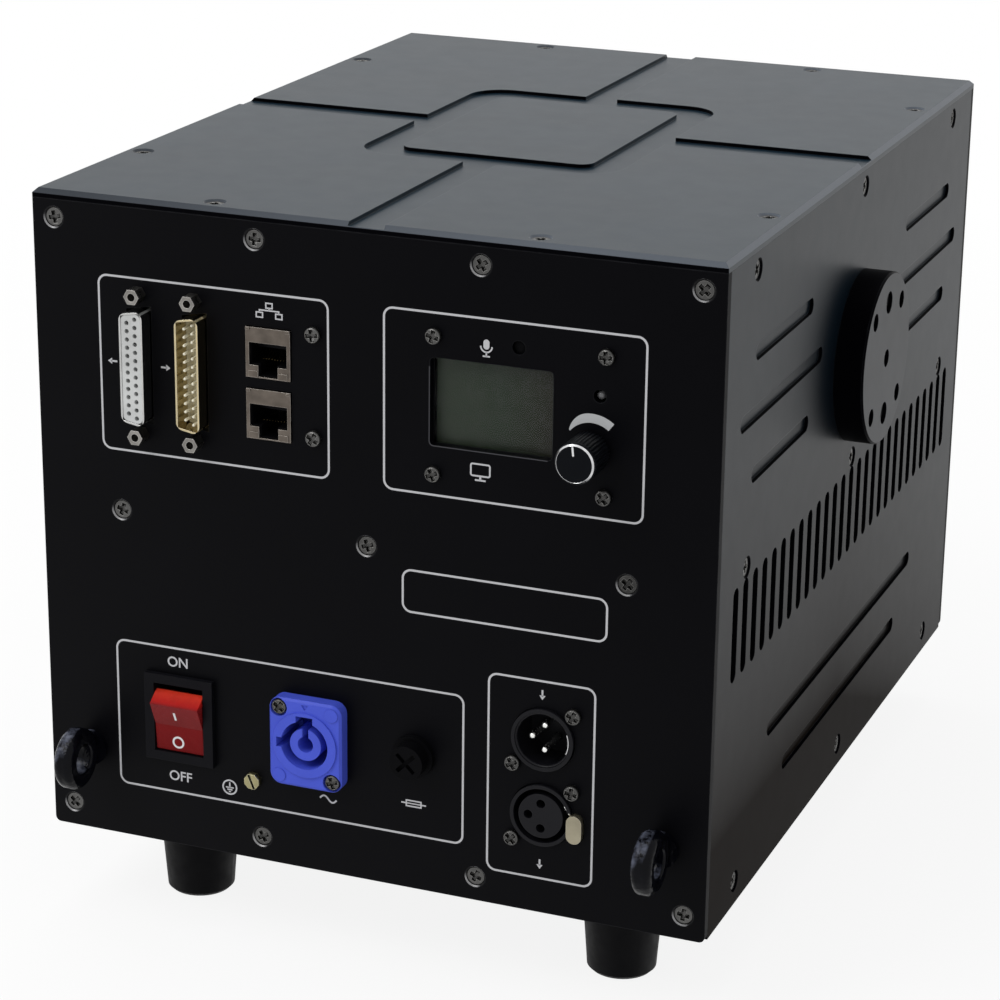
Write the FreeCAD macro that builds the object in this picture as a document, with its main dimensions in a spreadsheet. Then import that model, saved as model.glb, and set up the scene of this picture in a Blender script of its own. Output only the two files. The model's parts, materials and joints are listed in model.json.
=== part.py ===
"""Laser show projector: a bolted plate case with its connector panel, optics deck and cooling.

Frame: +X to the right seen from the connector panel, +Y from that panel towards the beam exit, +Z up.
The origin lies under the middle of the whole object, on the surface that the feet stand on.
"""
import FreeCAD, Part
import math
import os
from types import SimpleNamespace

import Sketcher

Vector = FreeCAD.Vector
Rotation = FreeCAD.Rotation

SIZES = {
    # case of six plates on edge rails
    "case_width": 235.0, "case_depth": 305.0, "case_height": 223.0, "wall_thickness": 3.0,
    "plate_corner": 2.0,
    "rail_width": 10.0, "cover_bevel": 1.5, "deck_thickness": 8.0,
    # clearances shared by all pieces
    "fit": 0.05, "clearance": 0.3, "overrun": 1.0,
    # places of the case screws: in from the edges of each plate, or out from its middle
    "corner_screw_inset": 7.5, "mid_screw_side": 38.5, "deck_screw_inset": 29.3,
    "low_screw_height": 8.3, "high_screw_drop": 9.0, "side_screw_inset": 30.5,
    "cover_screw_side": 55.3, "cover_screw_end_inset": 62.5, "cover_screw_inset": 7.0,
    # countersunk case screw
    "screw_radius": 1.6, "screw_head_radius": 3.1, "screw_length": 9.4, "screw_sink": 0.6,
    "cross_width": 1.1, "cross_reach": 1.9, "cross_depth": 1.3,
    # pan-head screw of the small parts
    "pan_radius": 1.5, "pan_head_radius": 2.65, "pan_head_height": 1.7, "pan_length": 6.5,
    # socket-head screw of hubs and feet
    "socket_radius": 2.0, "socket_head_radius": 3.5, "socket_head_height": 4.0,
    "socket_length": 8.5, "socket_key_radius": 1.7, "socket_key_depth": 2.0, "socket_room": 0.4,
    # channels in the top cover
    "channel_width": 12.2, "channel_depth": 1.3, "pad_width": 69.5, "pad_length": 94.5,
    "pad_corner": 5.0, "ring_corner": 13.0,
    # vents and grooves in the side plates
    "vent_width": 5.5, "vent_length": 31.8, "vent_end_inset": 19.9, "vent_drop": 19.4,
    "groove_width": 5.5, "groove_depth": 1.3, "groove_pitch": 20.0, "groove_drop": 35.8,
    "groove_low_height": 49.6, "groove_end_inset": 62.5, "groove_outer_length": 62.5,
    "groove_inner_length": 89.5, "groove_lower_length": 183.5, "groove_lowest_length": 144.0,
    # round bosses for a hanging bracket
    "hub_radius": 30.0, "hub_thickness": 10.3, "hub_circle_diameter": 47.6, "hub_hole_radius": 3.1,
    "hub_screw_offset": 19.8, "hub_seat_height": 5.0, "hub_bevel": 0.6,
    # rubber feet
    "foot_height": 31.0, "foot_top_radius": 14.0, "foot_low_radius": 11.7, "foot_side_inset": 38.8,
    "foot_inset": 32.6, "foot_seat_height": 5.5, "foot_bevel": 1.2,
    # safety eyes
    "eye_reach": 22.0, "eye_radius": 10.5, "eye_hole_radius": 5.0, "eye_width": 7.0,
    "eye_side_inset": 15.3, "eye_height": 30.5, "eye_collar_radius": 6.0, "eye_collar_height": 2.0,
    "eye_neck_radius": 3.4, "eye_stud_radius": 4.0, "eye_stud_length": 10.0,
    "eye_round_radius": 2.6, "eye_mouth_radius": 1.0,
    # 25-pin sockets
    "dsub_side_inset": 37.6, "dsub_pitch": 19.9, "dsub_drop": 54.7, "dsub_length": 38.9,
    "dsub_width": 8.3, "dsub_reach": 6.0, "dsub_skin": 0.6, "dsub_corner": 2.5,
    "dsub_face_drop": 0.2, "dsub_flange_length": 53.0, "dsub_flange_width": 12.5,
    "dsub_flange_thickness": 1.2, "dsub_body_length": 40.0, "dsub_body_width": 10.5,
    "dsub_body_depth": 9.0, "dsub_floor_thickness": 1.0, "pin_pitch": 2.76, "pin_row": 2.84,
    "pin_radius": 0.5, "pin_drop": 1.0, "socket_hole_radius": 0.75, "socket_hole_depth": 5.0,
    "jack_spacing": 47.04, "jack_hex_radius": 2.75, "jack_hex_length": 5.0, "jack_stud_radius": 1.5,
    "jack_stud_length": 7.0, "jack_bore_radius": 1.3, "jack_bore_depth": 4.0,
    # network jacks and their board
    "net_offset": 26.2, "net_drop": 45.6, "net_gap": 3.8, "net_width": 15.6, "net_height": 16.6,
    "net_depth": 18.0, "net_reach": 0.6, "port_width": 13.2, "port_height": 7.5, "port_rise": 3.3,
    "port_depth": 14.0, "tab_width": 6.8, "tab_height": 3.7, "port_insert_height": 3.0,
    "port_insert_length": 8.0, "net_screw_offset": 15.7, "net_screw_rise": 8.1,
    "net_screw_drop": 5.7, "board_thickness": 1.6, "net_board_width": 30.0,
    "net_board_height": 44.0, "net_board_shift": 4.5, "post_radius": 2.8,
    # display, knob and their board
    "window_side": 42.3, "window_rise": 1.8, "window_width": 41.0, "window_height": 28.6,
    "window_corner": 1.5, "lens_rim": 2.0, "lens_thickness": 1.5, "lcd_rim": 2.0, "lcd_depth": 8.0,
    "view_rim": 1.2, "view_recess": 0.8, "display_side": 51.6, "display_drop": 56.1,
    "display_span_width": 57.0, "display_rise": 45.0, "display_lift": 0.6, "display_rim": 4.6,
    "mic_side": 51.3, "mic_radius": 2.2, "mic_body_radius": 3.0, "mic_body_length": 5.0, "mic_rise": 22.5,
    "led_side": 78.0, "led_rise": 10.3, "led_radius": 1.5, "led_hole_radius": 2.1,
    "led_drop": 0.7, "knob_offset": 12.7,
    "knob_drop": 7.4, "knob_radius": 6.7, "knob_reach": 15.0, "knob_gap": 1.6, "knob_bevel": 0.9,
    "knob_floor": 2.0, "knob_flute_radius": 0.45, "shaft_radius": 3.0, "bushing_radius": 3.6,
    "bushing_reach": 0.5, "encoder_width": 12.0, "encoder_depth": 6.0, "encoder_floor": 1.0,
    "plunger_thickness": 0.8, "press_travel": 0.6, "press_room": 0.4,
    # mains switch
    "switch_side_inset": 49.5, "switch_height": 46.4, "bezel_width": 25.2, "bezel_height": 30.8,
    "bezel_thickness": 2.0, "rocker_width": 17.6, "rocker_half_height": 11.5, "rocker_reach": 11.7,
    "rocker_dip": 1.6, "rocker_crest_height": 9.2, "rocker_end_reach": 6.0,
    "rocker_back_depth": 3.0, "rocker_keel_height": 5.0, "rocker_pivot_depth": 8.1,
    "rocker_room": 1.5, "mouth_room": 0.7, "switch_skin": 1.2, "switch_cavity_depth": 14.6,
    "switch_body_depth": 22.0,
    "switch_pin_radius": 1.5, "switch_pin_length": 3.0,
    # mains inlet
    "inlet_side": 20.0, "inlet_height": 46.8, "inlet_width": 26.0, "inlet_length": 31.0,
    "inlet_reach": 5.0, "inlet_corner": 4.0, "inlet_bevel": 0.8, "inlet_lip_radius": 11.4,
    "inlet_lip_reach": 0.6, "inlet_barrel_radius": 11.9, "inlet_body_depth": 24.0,
    "inlet_bore_radius": 8.4, "inlet_core_radius": 5.6, "inlet_depth": 20.0, "inlet_core_drop": 1.0,
    "inlet_centre_radius": 2.75, "inlet_centre_depth": 14.0, "inlet_slot_width": 2.2,
    "inlet_notch_depth": 1.7, "inlet_notch_width": 6.0, "inlet_key_width": 3.4,
    "inlet_screw_side": 9.5, "inlet_screw_rise": 12.0, "inlet_sink_radius": 3.1,
    "inlet_sink_depth": 1.8, "inlet_pad_radius": 2.4, "inlet_pad_reach": 0.3,
    "inlet_mark_width": 2.4, "inlet_mark_depth": 0.4, "inlet_floor": 3.0,
    # fuse holder
    "fuse_side": 16.7, "fuse_height": 47.5, "fuse_flange_radius": 7.3, "fuse_flange_thickness": 2.0,
    "fuse_barrel_radius": 6.0, "fuse_barrel_length": 32.0, "fuse_bore_radius": 4.6,
    "fuse_bore_end_thickness": 3.0, "fuse_cap_radius": 5.9, "fuse_cap_reach": 7.0,
    "fuse_spigot_length": 6.0, "fuse_radius": 2.6, "fuse_length": 20.0, "fuse_start_depth": 0.5,
    "fuse_slot_width": 1.4, "fuse_slot_depth": 1.5, "fuse_slot_reach": 4.2,
    # earth screw
    "earth_side": 41.4, "earth_height": 28.6, "earth_head_radius": 3.0, "earth_head_height": 2.2,
    "earth_radius": 2.0, "earth_length": 12.0, "earth_slot_width": 0.9, "earth_slot_depth": 1.0,
    # three-pin data sockets
    "xlr_side_inset": 56.0, "xlr_gap": 0.7, "xlr_out_height": 34.7, "xlr_radius": 10.6,
    "xlr_bore_radius": 9.4, "xlr_reach": 1.2, "xlr_depth": 16.0, "xlr_floor": 2.0,
    "xlr_pin_radius": 1.2, "xlr_pin_circle": 4.3, "xlr_pin_drop": 0.8, "xlr_core_radius": 7.6,
    "xlr_hole_radius": 1.5, "xlr_hole_depth": 10.0, "xlr_flange_width": 26.0,
    "xlr_flange_height": 25.6, "xlr_flange_thickness": 2.0, "xlr_key_width": 2.4,
    "xlr_key_height": 1.4, "xlr_screw_side": 10.2, "xlr_screw_rise": 9.6, "latch_offset": 11.6,
    "latch_drop": 2.6, "latch_width": 5.2, "latch_height": 9.7, "latch_reach": 2.0,
    "latch_depth": 7.0, "latch_travel": 1.5, "latch_room": 0.4,
    # beam exit in the front plate
    "exit_side": 15.0, "exit_width": 64.0, "exit_rise": 40.0, "exit_rim": 12.0, "exit_lip": 3.0,
    "exit_reach": 4.0, "exit_bevel": 1.5,
    # optics on the deck
    "beam_height": 22.0, "laser_length": 52.0, "laser_width": 32.0, "laser_rise": 36.0,
    "laser_side": 44.0, "laser_pitch": 40.0, "laser_first_inset": 62.0, "nozzle_radius": 6.0,
    "nozzle_length": 5.0, "fold_side": 10.0, "mirror_width": 18.0, "mirror_rise": 16.0,
    "mirror_thickness": 2.5, "mirror_post_width": 12.0, "scan_front_inset": 60.0, "scan_rise": 14.0,
    "scan_plate_thickness": 1.2, "scan_first_width": 9.0, "scan_first_length": 8.0,
    "scan_second_width": 10.0, "scan_second_length": 14.0, "scan_shaft_radius": 1.5,
    "scan_shaft_length": 5.0, "scan_gap": 3.0, "motor_radius": 8.0, "motor_length": 32.0,
    "block_skin": 4.0, "block_length": 20.0, "block_foot_thickness": 6.0,
    # lower chamber
    "sink_end_inset": 27.5, "sink_base_thickness": 6.0, "fin_rise": 24.0, "fin_thickness": 2.4,
    "sink_gap": 3.0, "fan_size": 40.0, "fan_depth": 20.0, "fan_bore_radius": 18.6,
    "fan_reach": 70.0, "fan_hub_radius": 8.0, "fan_hub_length": 12.0, "fan_tip_gap": 0.6,
    "blade_thickness": 1.2, "blade_chord": 10.0, "fan_axle_radius": 1.5, "spider_thickness": 2.5,
    "spider_arm_width": 3.0, "spider_gap": 0.8, "supply_width": 98.0, "supply_end_inset": 62.0,
    "supply_height": 42.0, "supply_inset": 4.0, "supply_start_inset": 78.0, "control_width": 80.0,
    "control_length": 120.0, "control_gap": 6.5, "control_start_inset": 90.0,
    "control_post_height": 8.0, "control_inset": 5.0, "chip_width": 24.0, "chip_height": 6.0,
}

VENTS = 27
DECK_SHARE = 0.52646
HUB_SHARE = 0.69283
PIN_ROWS = (13, 12)
KNOB_FLUTES = 36
BLADES = 7
FINS = 31
SLANT_SHARE = math.tan(math.radians(10))
ROCKER_TILT = 14
BLADE_PITCH = 38
DIAGONAL_SHARE = math.sqrt(0.5)
XLR_PIN_ANGLES = (180, 90, -90)


class Size:
    """A number together with the sheet expression that it comes from."""

    def __init__(self, value, text):
        self.value = value
        self.text = text

    def joined(self, sign, other, value, swapped=False):
        pair = (text_of(other), self.text) if swapped else (self.text, text_of(other))
        return Size(value, f"({pair[0]} {sign} {pair[1]})")

    def __add__(self, other):
        return self.joined("+", other, self.value + value_of(other))

    def __radd__(self, other):
        return self.joined("+", other, value_of(other) + self.value, True)

    def __sub__(self, other):
        return self.joined("-", other, self.value - value_of(other))

    def __rsub__(self, other):
        return self.joined("-", other, value_of(other) - self.value, True)

    def __mul__(self, other):
        return self.joined("*", other, self.value * value_of(other))

    def __rmul__(self, other):
        return self.joined("*", other, value_of(other) * self.value, True)

    def __truediv__(self, other):
        return self.joined("/", other, self.value / value_of(other))

    def __neg__(self):
        return Size(-self.value, f"(0 - {self.text})")


def value_of(size):
    return size.value if isinstance(size, Size) else size


def text_of(size):
    return size.text if isinstance(size, Size) else f"({size!r})"


doc = FreeCAD.newDocument("laser_projector")
sheet = doc.addObject("Spreadsheet::Sheet", "sizes")
for row, (alias, number) in enumerate(SIZES.items(), 1):
    sheet.set(f"A{row}", alias)
    sheet.set(f"B{row}", str(number))
    sheet.setAlias(f"B{row}", alias)
doc.recompute()
d = SimpleNamespace(**{alias: Size(number, "sizes." + alias) for alias, number in SIZES.items()})
nodes = []

# planes and levels that many pieces line up with
half = d.case_width / 2
rear = (d.eye_reach - d.exit_reach - d.pan_head_height - d.case_depth) / 2
front = rear + d.case_depth
middle = rear + d.case_depth / 2
bottom = d.foot_height
top = bottom + d.case_height
inside = rear + d.wall_thickness
floor = bottom + d.wall_thickness
deck_middle = d.case_height * DECK_SHARE
deck_low = bottom + deck_middle - d.deck_thickness / 2
deck_top = deck_low + d.deck_thickness
high_screw = d.case_height - d.high_screw_drop
cap_clear = d.screw_radius + d.clearance

# places that keep their distance from an edge, a deck or a neighbour
hub_height = d.case_height * HUB_SHARE
corner_screw_side = half - d.corner_screw_inset
deck_screw_side = half - d.deck_screw_inset
side_screw_reach = d.case_depth / 2 - d.side_screw_inset
cover_screw_reach = d.case_depth / 2 - d.cover_screw_end_inset
vent_pitch = (d.case_depth - 2 * d.vent_end_inset) / (VENTS - 1)
vent_middle = deck_middle - d.vent_drop
groove_high = d.case_height - d.groove_drop
groove_group = d.case_depth / 2 - d.groove_end_inset
foot_side = half - d.foot_side_inset
eye_side = half - d.eye_side_inset
dsub_side = half - d.dsub_side_inset
dsub_height = d.case_height - d.dsub_drop
net_side = dsub_side - d.dsub_pitch - d.net_offset
net_high = d.case_height - d.net_drop
net_low = net_high - d.net_height - d.net_gap
net_screw_side = net_side - d.net_screw_offset
display_middle = d.case_height - d.display_drop
window_middle = display_middle + d.window_rise
mic_height = display_middle + d.mic_rise
led_height = display_middle + d.led_rise
knob_height = display_middle - d.knob_drop
knob_side = d.window_side + d.window_width / 2 + d.knob_offset
switch_side = half - d.switch_side_inset
xlr_side = half - d.xlr_side_inset
xlr_in_height = d.xlr_out_height + d.xlr_flange_height + d.xlr_gap
exit_height = deck_top + d.beam_height + d.scan_rise - bottom
sink_length = d.case_depth - 2 * d.sink_end_inset
fin_pitch = (sink_length - d.fin_thickness) / (FINS - 1)
supply_length = d.case_depth - d.supply_start_inset - d.supply_end_inset
control_side = half - d.wall_thickness - d.rail_width - d.control_gap - d.control_width / 2

TURN = {
    "+Z": Rotation(),
    "-Z": Rotation(Vector(1, 0, 0), 180),
    "+X": Rotation(Vector(0, 1, 0), 90),
    "-X": Rotation(Vector(0, 1, 0), -90),
    "+Y": Rotation(Vector(1, 0, 0), -90),
    "-Y": Rotation(Vector(1, 0, 0), 90),
}


def bind(thing, name, size):
    """Give a property its size, tied to the sheet."""
    if isinstance(size, Size):
        thing.setExpression(name, size.text)
    else:
        setattr(thing, name, size)


def place(thing, x=0, y=0, z=0, turn=None):
    """Put an object at x, y, z, tied to the sheet, with a fixed turn."""
    thing.Placement = FreeCAD.Placement(Vector(), turn or Rotation())
    for axis, size in zip("xyz", (x, y, z)):
        if isinstance(size, Size):
            thing.setExpression(f"Placement.Base.{axis}", size.text)
    return thing


def node(thing, label):
    """Name a finished piece and list it for export."""
    thing.Label = label
    nodes.append(thing)
    return thing


def about(centre, size):
    """The span of a size about its centre."""
    return centre - size / 2, centre + size / 2


def block(name, x, y, z):
    """A box between two faces along each axis."""
    box = doc.addObject("Part::Box", name)
    for side, span in zip(("Length", "Width", "Height"), (x, y, z)):
        bind(box, side, span[1] - span[0])
    return place(box, x[0], y[0], z[0])


def rod(name, axis, x, y, z, radius):
    """A round rod along an axis, which is the one given as a span."""
    bar = doc.addObject("Part::Cylinder", name)
    span = {"X": x, "Y": y, "Z": z}[axis]
    bind(bar, "Radius", radius)
    bind(bar, "Height", span[1] - span[0])
    start = [along[0] if isinstance(along, tuple) else along for along in (x, y, z)]
    return place(bar, *start, turn=TURN["+" + axis])


def cone(name, facing, x, y, z, low_radius, high_radius, height):
    """A cone that starts at x, y, z and narrows or widens the way it faces."""
    body = doc.addObject("Part::Cone", name)
    bind(body, "Radius1", low_radius)
    bind(body, "Radius2", high_radius)
    bind(body, "Height", height)
    return place(body, x, y, z, TURN[facing])


def hexagon(name, facing, x, y, z, radius, height):
    prism = doc.addObject("Part::Prism", name)
    prism.Polygon = 6
    bind(prism, "Circumradius", radius)
    bind(prism, "Height", height)
    return place(prism, x, y, z, TURN[facing])


def union(name, *parts):
    whole = doc.addObject("Part::MultiFuse", name)
    whole.Shapes = list(parts)
    return whole


def cut(name, base, *tools):
    """Take the tools out of the base."""
    whole = doc.addObject("Part::Cut", name)
    whole.Base = base
    whole.Tool = tools[0] if len(tools) == 1 else union(name + "_room", *tools)
    return whole


def group(name, parts):
    """Several separate solids that are one kind of piece."""
    whole = doc.addObject("Part::Compound", name)
    whole.Links = list(parts)
    return whole


def copies(name, piece, places):
    """The same piece at several places, each a turn with x, y, z."""
    links = []
    for turn, x, y, z in places:
        link = doc.addObject("App::Link", name + "_copy")
        link.LinkedObject = piece
        links.append(place(link, x, y, z, turn))
    return links


class Outline:
    """Closed outlines in one sketch of a body, every dimension tied to the sheet."""

    def __init__(self, body, name, plane, level=0):
        self.sketch = body.newObject("Sketcher::SketchObject", name)
        support = next(plane_ for plane_ in body.Origin.OriginFeatures if plane_.Role == plane)
        self.sketch.AttachmentSupport = [(support, "")]
        self.sketch.MapMode = "FlatFace"
        if isinstance(level, Size):
            self.sketch.setExpression("AttachmentOffset.Base.z", level.text)
        self.rules = []

    def rule(self, *words):
        self.rules.append((Sketcher.Constraint(*words), None))

    def measure(self, size, *words):
        if value_of(size):
            self.rules.append((Sketcher.Constraint(*words, float(value_of(size))), size))

    def fix(self, line, point, x, y):
        """Hold a point of the outline at x, y."""
        for kind, axis, size in (("DistanceX", -2, x), ("DistanceY", -1, y)):
            if value_of(size):
                self.measure(size, kind, -1, 1, line, point)
            else:
                self.rule("PointOnObject", line, point, axis)

    def lines(self, points):
        flat = [Vector(value_of(x), value_of(y), 0) for x, y in points]
        ring = [Part.LineSegment(flat[k], flat[(k + 1) % len(flat)]) for k in range(len(flat))]
        return self.sketch.addGeometry(ring)

    def polygon(self, points):
        made = self.lines(points)
        for k, line in enumerate(made):
            self.rule("Coincident", line, 2, made[(k + 1) % len(made)], 1)
            self.fix(line, 1, *points[k])
        return self

    def rectangle(self, x, y):
        return self.polygon([(x[0], y[0]), (x[1], y[0]), (x[1], y[1]), (x[0], y[1])])

    def circle(self, x, y, radius):
        centre = Vector(value_of(x), value_of(y), 0)
        ring = self.sketch.addGeometry(Part.Circle(centre, Vector(0, 0, 1), value_of(radius)))
        self.fix(ring, 3, x, y)
        self.measure(radius, "Radius", ring)
        return self

    def arc(self, x, y, radius, start):
        """A quarter or half turn is closed by the tangent rules that follow."""
        circle = Part.Circle(Vector(value_of(x), value_of(y), 0), Vector(0, 0, 1), value_of(radius))
        return Part.ArcOfCircle(circle, math.radians(start[0]), math.radians(start[1]))

    def rounded(self, x, y, radius):
        """A rectangle with round corners; x and y are spans."""
        left, right = x[0] + radius, x[1] - radius
        low, high = y[0] + radius, y[1] - radius
        corners = ((right, low, (270, 360)), (right, high, (0, 90)), (left, high, (90, 180)),
                   (left, low, (180, 270)))
        arcs = [self.arc(cx, cy, radius, turn) for cx, cy, turn in corners]
        ring = []
        for k, arc in enumerate(arcs):
            ring.append(Part.LineSegment(arcs[k - 1].EndPoint, arc.StartPoint))
            ring.append(arc)
        made = self.sketch.addGeometry(ring)
        for k, line in enumerate(made):
            self.rule("Tangent", line, 2, made[(k + 1) % len(made)], 1)
        for (cx, cy, turn), line in zip(corners, made[1::2]):
            self.fix(line, 3, cx, cy)
        self.measure(radius, "Radius", made[1])
        return self

    def slot(self, x, y, length, width, upright=False):
        """A slot with round ends about x, y."""
        run = (length - width) / 2
        radius = width / 2
        if upright:
            ends = ((x, y + run, (0, 180)), (x, y - run, (180, 360)))
        else:
            ends = ((x - run, y, (90, 270)), (x + run, y, (-90, 90)))
        arcs = [self.arc(cx, cy, radius, turn) for cx, cy, turn in ends]
        made = self.sketch.addGeometry([
            arcs[0], Part.LineSegment(arcs[0].EndPoint, arcs[1].StartPoint),
            arcs[1], Part.LineSegment(arcs[1].EndPoint, arcs[0].StartPoint)])
        for k, line in enumerate(made):
            self.rule("Tangent", line, 2, made[(k + 1) % 4], 1)
        for (cx, cy, turn), line in zip(ends, made[::2]):
            self.fix(line, 3, cx, cy)
        self.rule("Equal", made[0], made[2])
        self.measure(radius, "Radius", made[0])
        return self

    def done(self):
        made = self.sketch.addConstraint([rule for rule, size in self.rules])
        for index, (rule, size) in zip(made, self.rules):
            if isinstance(size, Size):
                self.sketch.setExpression(f"Constraints[{index}]", size.text)
        return self.sketch


def new_body(name):
    return doc.addObject("PartDesign::Body", name)


def pad(body, name, sketch, length, back=False):
    feature = body.newObject("PartDesign::Pad", name)
    feature.Profile = sketch
    bind(feature, "Length", length)
    feature.Reversed = back
    return feature


def pocket(body, name, sketch, depth=None, back=False):
    """Cut a sketch into its body, to a depth or right through."""
    before = doc.recompute() and body.Shape.Volume
    feature = body.newObject("PartDesign::Pocket", name)
    feature.Profile = sketch
    feature.Reversed = back
    if depth is None:
        feature.Type = "ThroughAll"
    else:
        bind(feature, "Length", depth)
    doc.recompute()
    if body.Shape.Volume >= before:
        raise ValueError(f"{name} cuts nothing")
    return feature


def countersunk(body, name, sketch):
    """Holes for the countersunk case screws."""
    doc.recompute()
    feature = body.newObject("PartDesign::Hole", name)
    feature.Profile = sketch
    feature.DepthType = "ThroughAll"
    feature.ThreadType = "None"
    feature.Threaded = False
    bind(feature, "Diameter", cap_clear * 2)
    feature.HoleCutType = "Countersink"
    feature.HoleCutCustomValues = True
    bind(feature, "HoleCutDiameter", (d.screw_head_radius + d.screw_sink + d.fit) * 2)
    feature.HoleCutCountersinkAngle = 90
    return feature


def edges_of(feature, wanted):
    """Names of the edges that a test picks."""
    doc.recompute()
    return [f"Edge{k}" for k, edge in enumerate(feature.Shape.Edges, 1) if wanted(edge)]


def along(axis):
    """A test for straight edges that run along an axis."""
    def wanted(edge):
        straight = edge.Curve.TypeId == "Part::GeomLine"
        return straight and abs(edge.tangentAt(edge.FirstParameter).dot(axis)) > 0.999
    return wanted


def soften(body, kind, feature, edges, size):
    """Fillet or chamfer named edges of a feature."""
    made = body.newObject("PartDesign::" + kind, kind.lower())
    made.Base = (feature, edges)
    bind(made, "Radius" if kind == "Fillet" else "Size", size)
    return made


def both(size):
    return (-size, size)


# case screws: where each plate is held, in that plate's own plane
panel_screws_at = [(x, z) for z in (d.low_screw_height, high_screw)
                   for x in (*both(corner_screw_side), *both(d.mid_screw_side))]
panel_screws_at += [(x, deck_middle) for x in (-deck_screw_side, 0, deck_screw_side)]
side_screws_at = [(y, z) for y in (-side_screw_reach, 0, side_screw_reach)
                  for z in (d.low_screw_height, deck_middle, high_screw)]
edge_side = half - d.cover_screw_inset
edge_reach = d.case_depth / 2 - d.cover_screw_inset
cover_screws_at = [(x, y) for x in both(d.cover_screw_side) for y in both(edge_reach)]
cover_screws_at += [(x, y) for x in both(edge_side) for y in both(cover_screw_reach)]


def case_screw():
    """Countersunk screw, its head flush with z = 0 and its shank below."""
    head = cone("screw_head", "-Z", 0, 0, 0, d.screw_head_radius, d.screw_radius,
                d.screw_head_radius - d.screw_radius)
    shank = rod("screw_shank", "Z", 0, 0, (-d.screw_length, 0), d.screw_radius)
    return cut("screw", union("screw_blank", head, shank), *cross_recess(0))


def cross_recess(face):
    """Two crossed slots below a screw's face."""
    reach, width = both(d.cross_reach), about(0, d.cross_width)
    depth = (face - d.cross_depth, face + d.overrun)
    return block("cross_a", reach, width, depth), block("cross_b", width, reach, depth)


def pan_screw():
    """Pan-head screw that seats at z = 0."""
    head = rod("pan_head", "Z", 0, 0, (0, d.pan_head_height), d.pan_head_radius)
    shank = rod("pan_shank", "Z", 0, 0, (-d.pan_length, d.pan_head_height), d.pan_radius)
    return cut("pan_screw", union("pan_blank", head, shank), *cross_recess(d.pan_head_height))


def socket_screw():
    """Socket-head screw that seats at z = 0."""
    head = rod("socket_head", "Z", 0, 0, (0, d.socket_head_height), d.socket_head_radius)
    shank = rod("socket_shank", "Z", 0, 0, (-d.socket_length, d.socket_head_height), d.socket_radius)
    key = hexagon("socket_key", "+Z", 0, 0, d.socket_head_height - d.socket_key_depth, d.socket_key_radius,
                  d.socket_key_depth + d.overrun)
    return cut("socket_screw", union("socket_blank", head, shank), key)


def fasteners():
    """All screws, each kind as one group; the case screws sit a little below the plates."""
    sink = d.screw_sink
    places = [(TURN["-Y"], x, rear + sink, bottom + z) for x, z in panel_screws_at]
    places += [(TURN["+Y"], x, front - sink, bottom + z) for x, z in panel_screws_at]
    places += [(TURN["+X"], half - sink, middle + y, bottom + z) for y, z in side_screws_at]
    places += [(TURN["-X"], sink - half, middle + y, bottom + z) for y, z in side_screws_at]
    places += [(TURN["+Z"], x, middle + y, top - sink) for x, y in cover_screws_at]
    places += [(TURN["-Z"], x, middle + y, bottom + sink) for x, y in cover_screws_at]
    node(group("case_screws", copies("screw", case_screw(), places)), "case_screws")

    places = [(TURN["-Y"], x, rear, bottom + z)
              for x, z in xlr_screws_at + net_screws_at + display_screws_at]
    seat = rear - d.inlet_reach + d.inlet_sink_depth
    places += [(TURN["-Y"], x, seat, bottom + z) for x, z in inlet_screws_at]
    places += [(TURN["+Y"], x, front + d.exit_reach, bottom + z) for x, z in exit_screws_at]
    node(group("panel_screws", copies("pan", pan_screw(), places)), "panel_screws")

    seat = half + d.hub_seat_height
    places = [(TURN[facing], side, middle, bottom + hub_height + z)
              for facing, side in (("+X", seat), ("-X", -seat)) for z in both(d.hub_screw_offset)]
    places += [(TURN["-Z"], x, y, bottom - d.foot_seat_height) for x, y in feet_at]
    node(group("socket_screws", copies("socket", socket_screw(), places)), "socket_screws")


# places on the connector panel, from the middle of the case and up from its underside
xlr_screws_at = [(xlr_side + sign * d.xlr_screw_side, height + sign * d.xlr_screw_rise)
                 for height in (xlr_in_height, d.xlr_out_height) for sign in (1, -1)]
net_screws_at = [(-net_screw_side, height)
                 for height in (net_high + d.net_screw_rise, net_low - d.net_screw_drop)]
display_screws_at = [(x, z) for x in about(d.display_side, d.display_span_width)
                     for z in about(display_middle + d.display_lift, d.display_rise)]
inlet_screws_at = [(-d.inlet_side - sign * d.inlet_screw_side, d.inlet_height + sign * d.inlet_screw_rise)
                   for sign in (1, -1)]
exit_screws_at = [(d.exit_side + x, exit_height + z) for x in both((d.exit_width + d.exit_rim) / 2)
                  for z in both((d.exit_rise + d.exit_rim) / 2)]
feet_at = [(x, y) for x in both(foot_side) for y in (rear + d.foot_inset, front - d.foot_inset)]
dsubs_at = [-dsub_side, d.dsub_pitch - dsub_side]
nets_at = [net_high, net_low]


def dsub_points(x, z, inset=0):
    """The tapered outline of a 25-pin socket standing upright, its longer row at the right."""
    side = d.dsub_width / 2 - inset
    slope = math.sqrt(1 + SLANT_SHARE ** 2)
    long = d.dsub_length / 2 - inset * (slope + SLANT_SHARE)
    short = d.dsub_length / 2 - (d.dsub_width - inset) * SLANT_SHARE - inset * slope
    return [(x + side, z - long), (x + side, z + long), (x - side, z + short), (x - side, z - short)]


def round_lower_corners(body, plate):
    """Round the two lower corners of an end plate."""
    through = along(Vector(0, 1, 0))
    doc.recompute()
    level = plate.Shape.BoundBox.Center.z
    edges = edges_of(plate, lambda edge: through(edge) and edge.BoundBox.ZMax < level)
    soften(body, "Fillet", plate, edges, d.plate_corner)


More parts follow.
